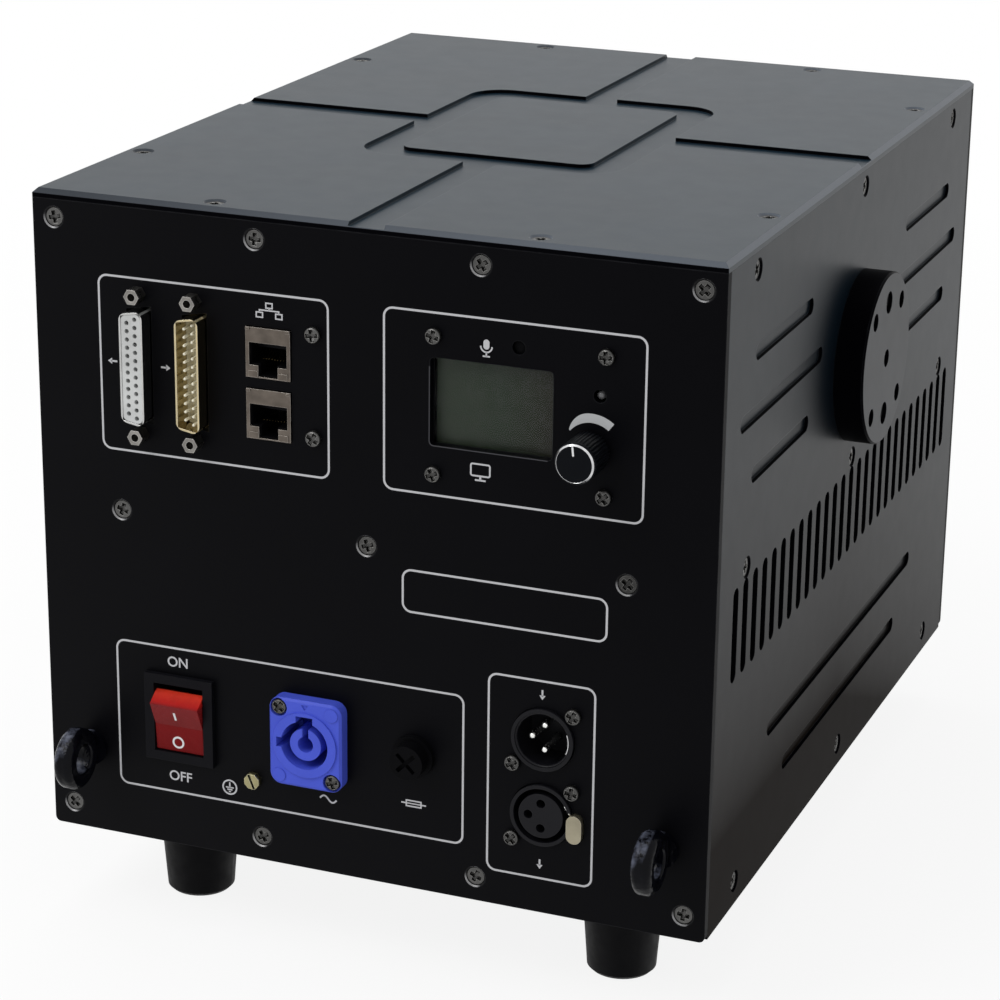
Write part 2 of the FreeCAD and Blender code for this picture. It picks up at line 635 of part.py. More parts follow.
def rear_panel():
    """Connector panel, drawn from its outer face."""
    body = place(new_body("rear_panel"), 0, rear, bottom)
    plate = Outline(body, "plate", "XZ_Plane").rectangle(both(half), (0, d.case_height - d.wall_thickness))
    round_lower_corners(body, pad(body, "plate_pad", plate.done(), d.wall_thickness, back=True))
    holes = Outline(body, "openings", "XZ_Plane")
    for x in dsubs_at:
        holes.polygon(dsub_points(x, dsub_height, -d.clearance))
        for z in about(dsub_height, d.jack_spacing):
            holes.circle(x, z, d.jack_stud_radius + d.clearance)
    for z in nets_at:
        holes.rectangle(about(-net_side, d.net_width + 2 * d.clearance),
                        about(z, d.net_height + 2 * d.clearance))
    holes.rounded(about(d.window_side, d.window_width), about(window_middle, d.window_height),
                  d.window_corner)
    holes.circle(d.mic_side, mic_height, d.mic_radius)
    holes.circle(d.led_side, led_height, d.led_hole_radius)
    holes.circle(knob_side, knob_height, d.bushing_radius + d.clearance)
    switch_width = d.rocker_width + 2 * (d.clearance + d.switch_skin)
    switch_height = 2 * (d.rocker_half_height + d.rocker_room + d.switch_skin)
    holes.rectangle(about(-switch_side, switch_width + 2 * d.clearance),
                    about(d.switch_height, switch_height + 2 * d.clearance))
    holes.circle(-d.inlet_side, d.inlet_height, d.inlet_barrel_radius + d.clearance)
    holes.circle(d.fuse_side, d.fuse_height, d.fuse_barrel_radius + d.clearance)
    holes.circle(-d.earth_side, d.earth_height, d.earth_radius + d.fit)
    for z in (xlr_in_height, d.xlr_out_height):
        holes.circle(xlr_side, z, d.xlr_radius + d.clearance)
    for x, z in xlr_screws_at + net_screws_at + display_screws_at:
        holes.circle(x, z, d.pan_radius + d.clearance)
    for x, z in inlet_screws_at:
        holes.circle(x, z, d.pan_radius + d.fit)
    for x in both(eye_side):
        holes.circle(x, d.eye_height, d.eye_stud_radius + d.fit)
    pocket(body, "opening_cut", holes.done())
    latch = Outline(body, "latch_slot", "XZ_Plane")
    latch.slot(xlr_side + d.latch_offset, d.xlr_out_height - d.latch_drop,
               d.latch_height + 2 * d.clearance, d.latch_width + 2 * d.clearance, upright=True)
    pocket(body, "latch_cut", latch.done())
    screws = Outline(body, "screw_places", "XZ_Plane")
    for x, z in panel_screws_at:
        screws.circle(x, z, d.screw_radius)
    countersunk(body, "screw_holes", screws.done())
    node(body, "rear_panel")


def front_panel():
    """Plate on the beam side, drawn from its outer face and turned round."""
    body = place(new_body("front_panel"), 0, front, bottom, Rotation(Vector(0, 0, 1), 180))
    plate = Outline(body, "plate", "XZ_Plane").rectangle(both(half), (0, d.case_height - d.wall_thickness))
    round_lower_corners(body, pad(body, "plate_pad", plate.done(), d.wall_thickness, back=True))
    holes = Outline(body, "openings", "XZ_Plane")
    holes.rectangle(about(-d.exit_side, d.exit_width), about(exit_height, d.exit_rise))
    for x, z in exit_screws_at:
        holes.circle(-x, z, d.pan_radius + d.fit)
    pocket(body, "opening_cut", holes.done())
    screws = Outline(body, "screw_places", "XZ_Plane")
    for x, z in panel_screws_at:
        screws.circle(x, z, d.screw_radius)
    countersunk(body, "screw_holes", screws.done())
    node(body, "front_panel")


def side_panel(label, side, turn):
    """Side plate with its vents and blind grooves, drawn from its outer face."""
    body = place(new_body(label), side, middle, bottom, Rotation(Vector(0, 0, 1), turn))
    plate = Outline(body, "plate", "YZ_Plane")
    plate.rectangle(both(d.case_depth / 2 - d.wall_thickness), (0, d.case_height - d.wall_thickness))
    pad(body, "plate_pad", plate.done(), d.wall_thickness, back=True)
    grooves = Outline(body, "grooves", "YZ_Plane")
    for y in both(groove_group):
        for row, length in enumerate((d.groove_outer_length, d.groove_inner_length, d.groove_outer_length)):
            grooves.slot(y, groove_high - row * d.groove_pitch, length, d.groove_width)
    for row, length in enumerate((d.groove_lower_length, d.groove_lowest_length)):
        grooves.slot(0, d.groove_low_height - row * d.groove_pitch, length, d.groove_width)
    pocket(body, "groove_cut", grooves.done(), d.groove_depth)
    holes = Outline(body, "hub_holes", "YZ_Plane")
    for z in both(d.hub_screw_offset):
        holes.circle(0, hub_height + z, d.socket_radius + d.fit)
    pocket(body, "hub_hole_cut", holes.done())
    vent = Outline(body, "vent", "YZ_Plane")
    vent.slot(-(VENTS - 1) / 2 * vent_pitch, vent_middle, d.vent_length, d.vent_width, upright=True)
    first = pocket(body, "vent_cut", vent.done())
    vents = body.newObject("PartDesign::LinearPattern", "vent_row")
    vents.Originals = [first]
    vents.Direction = (first.Profile[0], ["H_Axis"])
    vents.Mode = "Spacing"
    bind(vents, "Offset", vent_pitch)
    vents.Occurrences = VENTS
    body.Tip = vents
    screws = Outline(body, "screw_places", "YZ_Plane")
    for y, z in side_screws_at:
        screws.circle(y, z, d.screw_radius)
    body.Tip = countersunk(body, "screw_holes", screws.done())
    node(body, label)


def top_cover():
    """Cover with a beveled edge and a ring of channels round a raised pad."""
    body = place(new_body("top_cover"), 0, middle, top)
    plate = Outline(body, "plate", "XY_Plane").rectangle(both(half), both(d.case_depth / 2))
    slab = pad(body, "plate_pad", plate.done(), d.wall_thickness, back=True)
    rim = edges_of(slab, lambda edge: abs(edge.CenterOfMass.z - slab.Shape.BoundBox.ZMax) < d.fit.value)
    soften(body, "Chamfer", slab, rim, d.cover_bevel)
    ring = Outline(body, "ring", "XY_Plane")
    ring.rounded(both(d.pad_width / 2 + d.channel_width), both(d.pad_length / 2 + d.channel_width),
                 d.ring_corner)
    ring.rounded(both(d.pad_width / 2), both(d.pad_length / 2), d.pad_corner)
    pocket(body, "ring_cut", ring.done(), d.channel_depth)
    arms = Outline(body, "arms", "XY_Plane")
    width = both(d.channel_width / 2)
    lap = d.channel_width / 2
    for sign in (1, -1):
        reach = sorted((sign * (d.pad_length / 2 + lap), sign * (d.case_depth / 2 + d.overrun)),
                       key=value_of)
        arms.rectangle(width, reach)
        reach = sorted((sign * (d.pad_width / 2 + lap), sign * (half + d.overrun)), key=value_of)
        arms.rectangle(reach, width)
    pocket(body, "arm_cut", arms.done(), d.channel_depth)
    screws = Outline(body, "screw_places", "XY_Plane")
    for x, y in cover_screws_at:
        screws.circle(x, y, d.screw_radius)
    countersunk(body, "screw_holes", screws.done())
    node(body, "top_cover")


def base_plate():
    """Underside plate between the four upright plates, drawn from its outer face and turned over."""
    body = place(new_body("base_plate"), 0, middle, bottom, TURN["-Z"])
    plate = Outline(body, "plate", "XY_Plane")
    plate.rectangle(both(half - d.wall_thickness), both(d.case_depth / 2 - d.wall_thickness))
    pad(body, "plate_pad", plate.done(), d.wall_thickness, back=True)
    holes = Outline(body, "foot_holes", "XY_Plane")
    reach = d.case_depth / 2 - d.foot_inset
    for x in both(foot_side):
        for y in both(reach):
            holes.circle(x, y, d.socket_radius + d.fit)
    pocket(body, "foot_hole_cut", holes.done())
    screws = Outline(body, "screw_places", "XY_Plane")
    for x, y in cover_screws_at:
        screws.circle(x, y, d.screw_radius)
    countersunk(body, "screw_holes", screws.done())
    node(body, "base_plate")


def thread(axis, face, way, x, y, z):
    """Tapped hole for a case screw whose plate has its outer face at a level along the axis."""
    depth = d.screw_sink + d.screw_length + d.clearance
    ends = (face - d.overrun, face + depth) if way > 0 else (face - depth, face + d.overrun)
    spot = {"X": x, "Y": y, "Z": z}
    spot[axis] = ends
    return rod("thread", axis, spot["X"], spot["Y"], spot["Z"], d.screw_radius + d.fit)


def rails():
    """Square bars along all the edges, which take the case screws."""
    low, high = (floor, floor + d.rail_width), (top - d.wall_thickness - d.rail_width,
                                                top - d.wall_thickness)
    bars = []
    for sign in (1, -1):
        x = sorted((sign * (half - d.wall_thickness - d.rail_width), sign * (half - d.wall_thickness)),
                   key=value_of)
        for z, level, face, way in ((low, d.low_screw_height, bottom, 1), (high, high_screw, top, -1)):
            bar = block("side_rail", x, (inside, front - d.wall_thickness), z)
            taps = [thread("Y", rear, 1, sign * corner_screw_side, 0, bottom + level),
                    thread("Y", front, -1, sign * corner_screw_side, 0, bottom + level)]
            taps += [thread("X", sign * half, -sign, 0, middle + y, bottom + level)
                     for y in (-side_screw_reach, 0, side_screw_reach)]
            taps += [thread("Z", face, way, sign * edge_side, middle + y, 0)
                     for y in both(cover_screw_reach)]
            bars.append(cut("side_rail_tapped", bar, *taps))
    node(group("side_rails", bars), "side_rails")
    bars = []
    x = both(half - d.wall_thickness - d.rail_width)
    for y, plate, inward in (((inside, inside + d.rail_width), rear, 1),
                             ((front - d.wall_thickness - d.rail_width, front - d.wall_thickness), front,
                              -1)):
        for z, level, face, way in ((low, d.low_screw_height, bottom, 1), (high, high_screw, top, -1)):
            bar = block("cross_rail", x, y, z)
            taps = [thread("Y", plate, inward, side, 0, bottom + level) for side in both(d.mid_screw_side)]
            taps += [thread("Z", face, way, side, middle - inward * edge_reach, 0)
                     for side in both(d.cover_screw_side)]
            bars.append(cut("cross_rail_tapped", bar, *taps))
    node(group("cross_rails", bars), "cross_rails")


def optics_plate():
    """Thick deck at mid-height, held by the middle row of screws on every side."""
    slab = block("deck", both(half - d.wall_thickness), (inside, front - d.wall_thickness),
                 (deck_low, deck_top))
    taps = []
    for side in (-deck_screw_side, 0, deck_screw_side):
        taps += [thread("Y", rear, 1, side, 0, bottom + deck_middle),
                 thread("Y", front, -1, side, 0, bottom + deck_middle)]
    for y in (-side_screw_reach, 0, side_screw_reach):
        taps += [thread("X", half, -1, 0, middle + y, bottom + deck_middle),
                 thread("X", -half, 1, 0, middle + y, bottom + deck_middle)]
    node(cut("optics_plate", slab, *taps), "optics_plate")


def hub(label, sign):
    """Round boss with four tapped holes, a centre hole and two sunk fixing screws."""
    height = bottom + hub_height
    face = d.hub_thickness - d.hub_bevel
    blank = union(label + "_blank", rod("hub_disc", "Z", 0, 0, (0, face), d.hub_radius),
                  cone("hub_edge", "+Z", 0, 0, face, d.hub_radius, d.hub_radius - d.hub_bevel, d.hub_bevel))
    through = (-d.overrun, d.hub_thickness + d.overrun)
    tools = [rod("hub_centre", "Z", 0, 0, through, d.hub_hole_radius)]
    spread = d.hub_circle_diameter / 2 * DIAGONAL_SHARE
    tools += [rod("hub_hole", "Z", x, y, through, d.hub_hole_radius) for x in both(spread)
              for y in both(spread)]
    for x in both(d.hub_screw_offset):
        tools.append(rod("hub_screw_hole", "Z", x, 0, through, d.socket_radius + d.clearance))
        tools.append(rod("hub_sink", "Z", x, 0, (d.hub_seat_height, d.hub_thickness + d.overrun),
                         d.socket_head_radius + d.socket_room))
    disc = cut(label, blank, *tools)
    node(place(disc, sign * half, middle, height, TURN["+X" if sign > 0 else "-X"]), label)


def feet():
    """Tapered rubber feet, hollowed from below for their screws."""
    made = []
    for x, y in feet_at:
        foot = union("foot_blank",
                     cone("foot_taper", "+Z", x, y, d.foot_bevel, d.foot_low_radius, d.foot_top_radius,
                          d.foot_height - d.foot_bevel),
                     cone("foot_edge", "+Z", x, y, 0, d.foot_low_radius - d.foot_bevel, d.foot_low_radius,
                          d.foot_bevel))
        room = rod("foot_room", "Z", x, y, (-d.overrun, bottom - d.foot_seat_height),
                   d.socket_head_radius + d.socket_room)
        hole = rod("foot_hole", "Z", x, y, (-d.overrun, bottom + d.overrun), d.socket_radius + d.clearance)
        made.append(cut("foot", foot, room, hole))
    node(group("rubber_feet", made), "rubber_feet")


def safety_eye(label, sign):
    """Eye bolt whose ring stands upright, square to the panel."""
    x, z = sign * eye_side, bottom + d.eye_height
    y = rear - d.eye_reach + d.eye_radius
    body = new_body(label)
    place(body, x, y, z)
    ring = Outline(body, "ring", "YZ_Plane", -d.eye_width / 2).circle(0, 0, d.eye_radius)
    loop = pad(body, "ring_pad", ring.done(), d.eye_width)
    rims = edges_of(loop, lambda edge: edge.Curve.TypeId == "Part::GeomCircle")
    soften(body, "Fillet", loop, rims, d.eye_round_radius)
    panel = rear - y
    collar = Outline(body, "collar", "XZ_Plane", -panel).circle(0, 0, d.eye_collar_radius)
    pad(body, "collar_pad", collar.done(), d.eye_collar_height)
    neck = Outline(body, "neck", "XZ_Plane", -panel).circle(0, 0, d.eye_neck_radius)
    pad(body, "neck_pad", neck.done(), d.eye_reach - d.eye_radius)
    stud = Outline(body, "stud", "XZ_Plane", -panel).circle(0, 0, d.eye_stud_radius)
    pad(body, "stud_pad", stud.done(), d.eye_stud_length, back=True)
    hole = Outline(body, "hole", "YZ_Plane", d.eye_width / 2 + d.overrun).circle(0, 0, d.eye_hole_radius)
    bored = pocket(body, "hole_cut", hole.done())
    mouths = edges_of(bored, lambda edge: edge.Curve.TypeId == "Part::GeomCircle"
                      and abs(edge.Curve.Radius - d.eye_hole_radius.value) < d.fit.value)
    soften(body, "Fillet", bored, mouths, d.eye_mouth_radius)
    node(body, label)


def dsub_prism(body, name, start, inset, length, skin=None, corner=None):
    """Pad or pocket of the tapered socket outline, from a level in front of the panel inwards."""
    sketch = Outline(body, name, "XZ_Plane", start).polygon(dsub_points(0, 0, inset)).done()
    if skin:
        return pocket(body, name + "_cut", sketch)
    feature = pad(body, name + "_pad", sketch, length, back=True)
    return soften(body, "Fillet", feature, edges_of(feature, along(Vector(0, 1, 0))), corner)


def dsub_pins(x, z):
    """Places of the pins, the longer row at the right."""
    places = []
    for row, count in enumerate(PIN_ROWS):
        side = x + (0.5 - row) * d.pin_row
        places += [(side, z + (k - (count - 1) / 2) * d.pin_pitch) for k in range(count)]
    return places


def dsub(kind, x):
    """One 25-pin socket: a metal shell on a flange behind the panel, and its insulator."""
    z = bottom + dsub_height
    seat = d.wall_thickness + d.dsub_flange_thickness
    shell = place(new_body(f"dsub_{kind}_shell"), x, rear, z)
    dsub_prism(shell, "shell", d.dsub_reach, 0, d.dsub_reach + seat, corner=d.dsub_corner)
    flange = Outline(shell, "flange", "XZ_Plane", -d.wall_thickness)
    flange.rectangle(about(0, d.dsub_flange_width), about(0, d.dsub_flange_length))
    pad(shell, "flange_pad", flange.done(), d.dsub_flange_thickness, back=True)
    dsub_prism(shell, "mouth", d.dsub_reach + d.overrun, d.dsub_skin, None, skin=True)
    holes = Outline(shell, "jack_holes", "XZ_Plane", -d.wall_thickness)
    for rise in about(0, d.jack_spacing):
        holes.circle(0, rise, d.jack_stud_radius + d.fit)
    pocket(shell, "jack_hole_cut", holes.done())
    node(shell, f"dsub_{kind}_shell")

    nose = d.dsub_reach - d.dsub_face_drop if kind == "out" else -d.dsub_floor_thickness
    core = place(new_body(f"dsub_{kind}_insulator"), x, rear, z)
    dsub_prism(core, "core", nose, d.dsub_skin + d.fit, nose + seat, corner=d.dsub_corner - d.dsub_skin)
    back = Outline(core, "back", "XZ_Plane", -seat)
    back.rectangle(about(0, d.dsub_body_width), about(0, d.dsub_body_length))
    pad(core, "back_pad", back.done(), d.dsub_body_depth, back=True)
    holes = Outline(core, "pin_holes", "XZ_Plane", nose)
    for side, rise in dsub_pins(0, 0):
        holes.circle(side, rise, d.socket_hole_radius if kind == "out" else d.pin_radius + d.fit)
    pocket(core, "pin_hole_cut", holes.done(), d.socket_hole_depth)
    node(core, f"dsub_{kind}_insulator")


def dsubs():
    """Both 25-pin sockets, the pins of the second and the hexagon jackscrews."""
    dsub("out", dsubs_at[0])
    dsub("in", dsubs_at[1])
    z = bottom + dsub_height
    depth = (rear - d.dsub_reach + d.pin_drop, rear + d.dsub_floor_thickness + d.socket_hole_depth)
    pins = [rod("pin", "Y", x, depth, rise, d.pin_radius) for x, rise in dsub_pins(dsubs_at[1], z)]
    node(group("dsub_in_pins", pins), "dsub_in_pins")
    jacks = []
    for x in dsubs_at:
        for rise in about(z, d.jack_spacing):
            head = hexagon("jack_head", "-Y", x, rear, rise, d.jack_hex_radius, d.jack_hex_length)
            stud = rod("jack_stud", "Y", x, (rear - d.overrun, rear + d.jack_stud_length), rise,
                       d.jack_stud_radius)
            mouth = rear - d.jack_hex_length
            bore = rod("jack_bore", "Y", x, (mouth - d.overrun, mouth + d.jack_bore_depth), rise,
                       d.jack_bore_radius)
            jacks.append(cut("jackscrew", union("jack_blank", head, stud), bore))
    node(group("dsub_jackscrews", jacks), "dsub_jackscrews")


def network():
    """Two shielded network jacks with their contact inserts, on one board."""
    shells, inserts = [], []
    face, back = rear - d.net_reach, rear - d.net_reach + d.net_depth
    for height in nets_at:
        x, z = -net_side, bottom + height
        shell = block("jack", about(x, d.net_width), (face, back), about(z, d.net_height))
        roof = z + d.port_rise
        mouth = (face - d.overrun, face + d.port_depth)
        port = block("port", about(x, d.port_width), mouth, (roof - d.port_height, roof))
        tab = block("tab", about(x, d.tab_width), mouth,
                    (roof - d.port_height - d.tab_height, roof - d.port_height / 2))
        shells.append(cut("network_jack", shell, port, tab))
        end = face + d.port_depth
        inserts.append(block("insert", about(x, d.port_width - 2 * d.clearance),
                             (end - d.port_insert_length, end), (roof - d.port_insert_height, roof)))
    node(group("network_jacks", shells), "network_jacks")
    node(group("network_jack_inserts", inserts), "network_jack_inserts")
    x = about(-net_side + d.net_board_shift, d.net_board_width)
    z = about(bottom + (net_high + net_low) / 2, d.net_board_height)
    node(block("network_board", x, (back, back + d.board_thickness), z), "network_board")
    return back


def display():
    """Display window, its module and board with microphone, lamp and encoder, and the menu knob."""
    x, z = d.window_side, bottom + window_middle
    lens_back = inside + d.lens_thickness
    width, height = d.window_width + 2 * d.lens_rim, d.window_height + 2 * d.lens_rim
    node(block("display_lens", about(x, width), (inside, lens_back), about(z, height)), "display_lens")
    lcd_back = lens_back + d.lcd_depth
    width, height = width + d.lcd_rim, height + d.lcd_rim
    frame = block("lcd", about(x, width), (lens_back, lcd_back), about(z, height))
    view = block("lcd_view", about(x, d.window_width + d.view_rim),
                 (lens_back - d.overrun, lens_back + d.view_recess), about(z, d.window_height + d.view_rim))
    node(cut("lcd_module", frame, view), "lcd_module")

    span, rise = d.display_span_width + 2 * d.display_rim, d.display_rise + 2 * d.display_rim
    centre = bottom + display_middle
    board = block("display_card", about(d.display_side, span), (lcd_back, lcd_back + d.board_thickness),
                  about(centre, rise))
    microphone = rod("microphone", "Y", d.mic_side,
                     (lcd_back - d.mic_body_length, lcd_back + d.board_thickness), bottom + mic_height,
                     d.mic_body_radius)
    node(union("display_board", board, microphone), "display_board")
    lamp = rod("lamp", "Y", d.led_side, (rear + d.led_drop, lcd_back), bottom + led_height, d.led_radius)
    node(lamp, "status_led")
    knob(lcd_back)
    return lcd_back


def knob(board):
    """Rotary encoder that also presses, with its shaft and fluted knob."""
    x, z = knob_side, bottom + knob_height
    case = block("encoder_case", about(x, d.encoder_width), (board - d.encoder_depth, board),
                 about(z, d.encoder_width))
    neck = rod("bushing", "Y", x, (rear - d.bushing_reach, board - d.encoder_depth / 2), z,
               d.bushing_radius)
    bore_end = board - d.encoder_floor
    bore = rod("encoder_bore", "Y", x, (rear - d.bushing_reach - d.overrun, bore_end), z,
               d.shaft_radius + d.fit)
    node(cut("encoder_body", union("encoder_blank", case, neck), bore), "encoder_body")
    plunger_back = bore_end - d.press_travel - d.press_room
    plunger_face = plunger_back - d.plunger_thickness
    node(rod("plunger", "Y", x, (plunger_face, plunger_back), z, d.shaft_radius), "encoder_plunger")
    shaft_end = rear - d.knob_reach + d.knob_floor
    node(rod("shaft", "Y", x, (shaft_end, plunger_face), z, d.shaft_radius), "encoder_shaft")
    skirt = rear - d.knob_gap
    face = rear - d.knob_reach
    grip = rod("knob_grip", "Y", x, (face + d.knob_bevel, skirt), z, d.knob_radius)
    edge = cone("knob_edge", "-Y", x, face + d.knob_bevel, z, d.knob_radius,
                d.knob_radius - d.knob_bevel, d.knob_bevel)
    room = [rod("knob_bore", "Y", x, (shaft_end, skirt + d.overrun), z, d.shaft_radius + d.fit)]
    for k in range(KNOB_FLUTES):
        turn = 2 * math.pi * k / KNOB_FLUTES
        room.append(rod("knob_flute", "Y", x + d.knob_radius * math.sin(turn),
                        (face + 2 * d.knob_bevel, skirt + d.overrun), z + d.knob_radius * math.cos(turn),
                        d.knob_flute_radius))
    node(cut("menu_knob", union("knob_blank", grip, edge), *room), "menu_knob")


def posts(net_back, display_back):
    """Round pillars that carry the boards."""
    made = []
    for places, end in ((net_screws_at, net_back), (display_screws_at, display_back)):
        for x, z in places:
            pillar = rod("post", "Y", x, (inside, end), bottom + z, d.post_radius)
            tap = rod("post_tap", "Y", x, (inside - d.overrun, rear + d.pan_length + d.clearance),
                      bottom + z, d.pan_radius + d.fit)
            made.append(cut("board_post", pillar, tap))
    for x, y in control_posts_at:
        made.append(rod("control_post", "Z", x, y, (floor, floor + d.control_post_height), d.post_radius))
    node(group("board_standoffs", made), "board_standoffs")


def switch():
    """Rocker switch that rests in its off position, with the upper half of the rocker out."""
    x, z = -switch_side, bottom + d.switch_height
    width, height = d.rocker_width + 2 * d.clearance, 2 * (d.rocker_half_height + d.rocker_room)
    skin = 2 * d.switch_skin
    bezel = block("switch_bezel", about(x, d.bezel_width), (rear - d.bezel_thickness, rear),
                  about(z, d.bezel_height))
    case = block("switch_case", about(x, width + skin),
                 (rear - d.bezel_thickness, rear + d.switch_body_depth), about(z, height + skin))
    mouth = block("switch_mouth", about(x, width), (rear - d.bezel_thickness - d.overrun, rear + d.overrun),
                  about(z, 2 * (d.rocker_half_height + d.mouth_room)))
    cavity = block("switch_cavity", about(x, width), (rear, rear + d.switch_cavity_depth), about(z, height))
    wall = (width + d.switch_skin) / 2
    pins = [rod("switch_pin", "X", (x - wall, x + d.switch_pin_length - wall),
                rear + d.rocker_pivot_depth, z, d.switch_pin_radius),
            rod("switch_pin", "X", (x + wall - d.switch_pin_length, x + wall),
                rear + d.rocker_pivot_depth, z, d.switch_pin_radius)]
    shell = cut("switch_shell", union("switch_blank", bezel, case), mouth, cavity)
    node(union("switch_housing", shell, *pins), "switch_housing")

    body = place(new_body("switch_rocker"), x, rear + d.rocker_pivot_depth, z,
                 Rotation(Vector(1, 0, 0), ROCKER_TILT))
    side = Outline(body, "side", "YZ_Plane", -d.rocker_width / 2)
    side.polygon([
        (-d.rocker_end_reach, d.rocker_half_height), (-d.rocker_reach, d.rocker_crest_height),
        (d.rocker_dip - d.rocker_reach, 0), (-d.rocker_reach, -d.rocker_crest_height),
        (-d.rocker_end_reach, -d.rocker_half_height), (d.rocker_back_depth, -d.rocker_keel_height),
        (d.rocker_back_depth, d.rocker_keel_height)])
    pad(body, "rocker_pad", side.done(), d.rocker_width)
    bore = Outline(body, "bore", "YZ_Plane", d.rocker_width / 2 + d.overrun)
    pocket(body, "bore_cut", bore.circle(0, 0, d.switch_pin_radius + d.fit).done())
    node(body, "switch_rocker")


def inlet():
    """Locking mains inlet: a flange with a raised lip, and a deep notched ring round a hollow core."""
    body = place(new_body("power_inlet"), -d.inlet_side, rear, bottom + d.inlet_height)
    plate = Outline(body, "flange", "XZ_Plane")
    plate.rounded(about(0, d.inlet_width), about(0, d.inlet_length), d.inlet_corner)
    slab = pad(body, "flange_pad", plate.done(), d.inlet_reach)
    face = edges_of(slab, lambda edge: abs(edge.CenterOfMass.y - slab.Shape.BoundBox.YMin) < d.fit.value)
    soften(body, "Chamfer", slab, face, d.inlet_bevel)
    lip = Outline(body, "lip", "XZ_Plane", d.inlet_reach).circle(0, 0, d.inlet_lip_radius)
    pad(body, "lip_pad", lip.done(), d.inlet_lip_reach)
    spots = Outline(body, "spots", "XZ_Plane", d.inlet_reach)
    for sign in (1, -1):
        spots.circle(sign * d.inlet_screw_side, sign * d.inlet_screw_rise, d.inlet_pad_radius)
    pad(body, "spots_pad", spots.done(), d.inlet_pad_reach)
    barrel = Outline(body, "barrel", "XZ_Plane").circle(0, 0, d.inlet_barrel_radius)
    pad(body, "barrel_pad", barrel.done(), d.inlet_body_depth, back=True)
    mouth = d.inlet_reach + d.inlet_lip_reach
    ring = Outline(body, "ring", "XZ_Plane", mouth)
    ring.circle(0, 0, d.inlet_bore_radius).circle(0, 0, d.inlet_core_radius)
    pocket(body, "ring_cut", ring.done(), d.inlet_depth)
    core = Outline(body, "core_face", "XZ_Plane", mouth).circle(0, 0, d.inlet_core_radius)
    pocket(body, "core_cut", core.done(), d.inlet_core_drop)
    centre = Outline(body, "centre", "XZ_Plane", mouth).circle(0, 0, d.inlet_centre_radius)
    pocket(body, "centre_cut", centre.done(), d.inlet_centre_depth)
    slot = Outline(body, "core_slot", "XZ_Plane", mouth)
    slot.rectangle(about(0, d.inlet_slot_width),
                   (d.inlet_centre_radius / 2, d.inlet_core_radius + d.overrun))
    pocket(body, "slot_cut", slot.done(), d.inlet_centre_depth)
    keys = Outline(body, "keys", "XZ_Plane", mouth)
    inner, outer = d.inlet_bore_radius - d.overrun, d.inlet_bore_radius + d.inlet_notch_depth
    keys.rectangle(about(0, d.inlet_notch_width), (inner, outer))
    keys.rectangle((-outer, -inner), about(0, d.inlet_key_width))
    pocket(body, "key_cut", keys.done(), d.inlet_depth - d.inlet_floor)
    mark = Outline(body, "mark", "XZ_Plane", d.inlet_reach)
    level, size = (d.inlet_lip_radius + d.inlet_length / 2) / 2, d.inlet_mark_width / 2
    mark.polygon([(-size, level + size / 2), (0, level - size), (size, level + size / 2)])
    pocket(body, "mark_cut", mark.done(), d.inlet_mark_depth)
    holes = Outline(body, "screw_holes", "XZ_Plane", d.inlet_reach)
    sinks = Outline(body, "screw_sinks", "XZ_Plane", d.inlet_reach)
    for sign in (1, -1):
        holes.circle(-sign * d.inlet_screw_side, sign * d.inlet_screw_rise, d.pan_radius + d.clearance)
        sinks.circle(-sign * d.inlet_screw_side, sign * d.inlet_screw_rise, d.inlet_sink_radius)
    pocket(body, "screw_hole_cut", holes.done(), d.inlet_reach + d.overrun)
    pocket(body, "screw_sink_cut", sinks.done(), d.inlet_sink_depth)
    node(body, "power_inlet")


def fuse():
    """Panel fuse holder, its bayonet cap with a cross slot, and the fuse that the cap draws out."""
    x, z = d.fuse_side, bottom + d.fuse_height
    flange = rod("fuse_flange", "Y", x, (rear - d.fuse_flange_thickness, rear), z, d.fuse_flange_radius)
    barrel = rod("fuse_barrel", "Y", x, (rear - d.fuse_flange_thickness, rear + d.fuse_barrel_length), z,
                 d.fuse_barrel_radius)
    bore = rod("fuse_bore", "Y", x,
               (rear - d.fuse_flange_thickness - d.overrun,
                rear + d.fuse_barrel_length - d.fuse_bore_end_thickness), z, d.fuse_bore_radius)
    node(cut("fuse_holder", union("fuse_blank", flange, barrel), bore), "fuse_holder")
    seat, face = rear - d.fuse_flange_thickness, rear - d.fuse_cap_reach
    spigot_end = seat + d.fuse_flange_thickness + d.fuse_spigot_length
    head = rod("cap_head", "Y", x, (face, seat), z, d.fuse_cap_radius)
    spigot = rod("cap_spigot", "Y", x, (face, spigot_end), z, d.fuse_bore_radius - d.fit)
    start = rear + d.fuse_start_depth
    room = [rod("cap_bore", "Y", x, (start, spigot_end + d.overrun), z, d.fuse_radius + d.fit)]
    wide, thin = d.fuse_slot_reach * DIAGONAL_SHARE, d.fuse_slot_width / 2 * DIAGONAL_SHARE
    for turn, low, high in ((45, wide + thin, wide - thin), (-45, wide - thin, -wide - thin)):
        slot = block("cap_slot", both(d.fuse_slot_reach), (face - d.overrun, face + d.fuse_slot_depth),
                     about(0, d.fuse_slot_width))
        room.append(place(slot, x - low, face - d.overrun, z + high, Rotation(Vector(0, 1, 0), turn)))
    node(cut("fuse_cap", union("cap_blank", head, spigot), *room), "fuse_cap")
    node(rod("fuse", "Y", x, (start, start + d.fuse_length), z, d.fuse_radius), "fuse_cartridge")


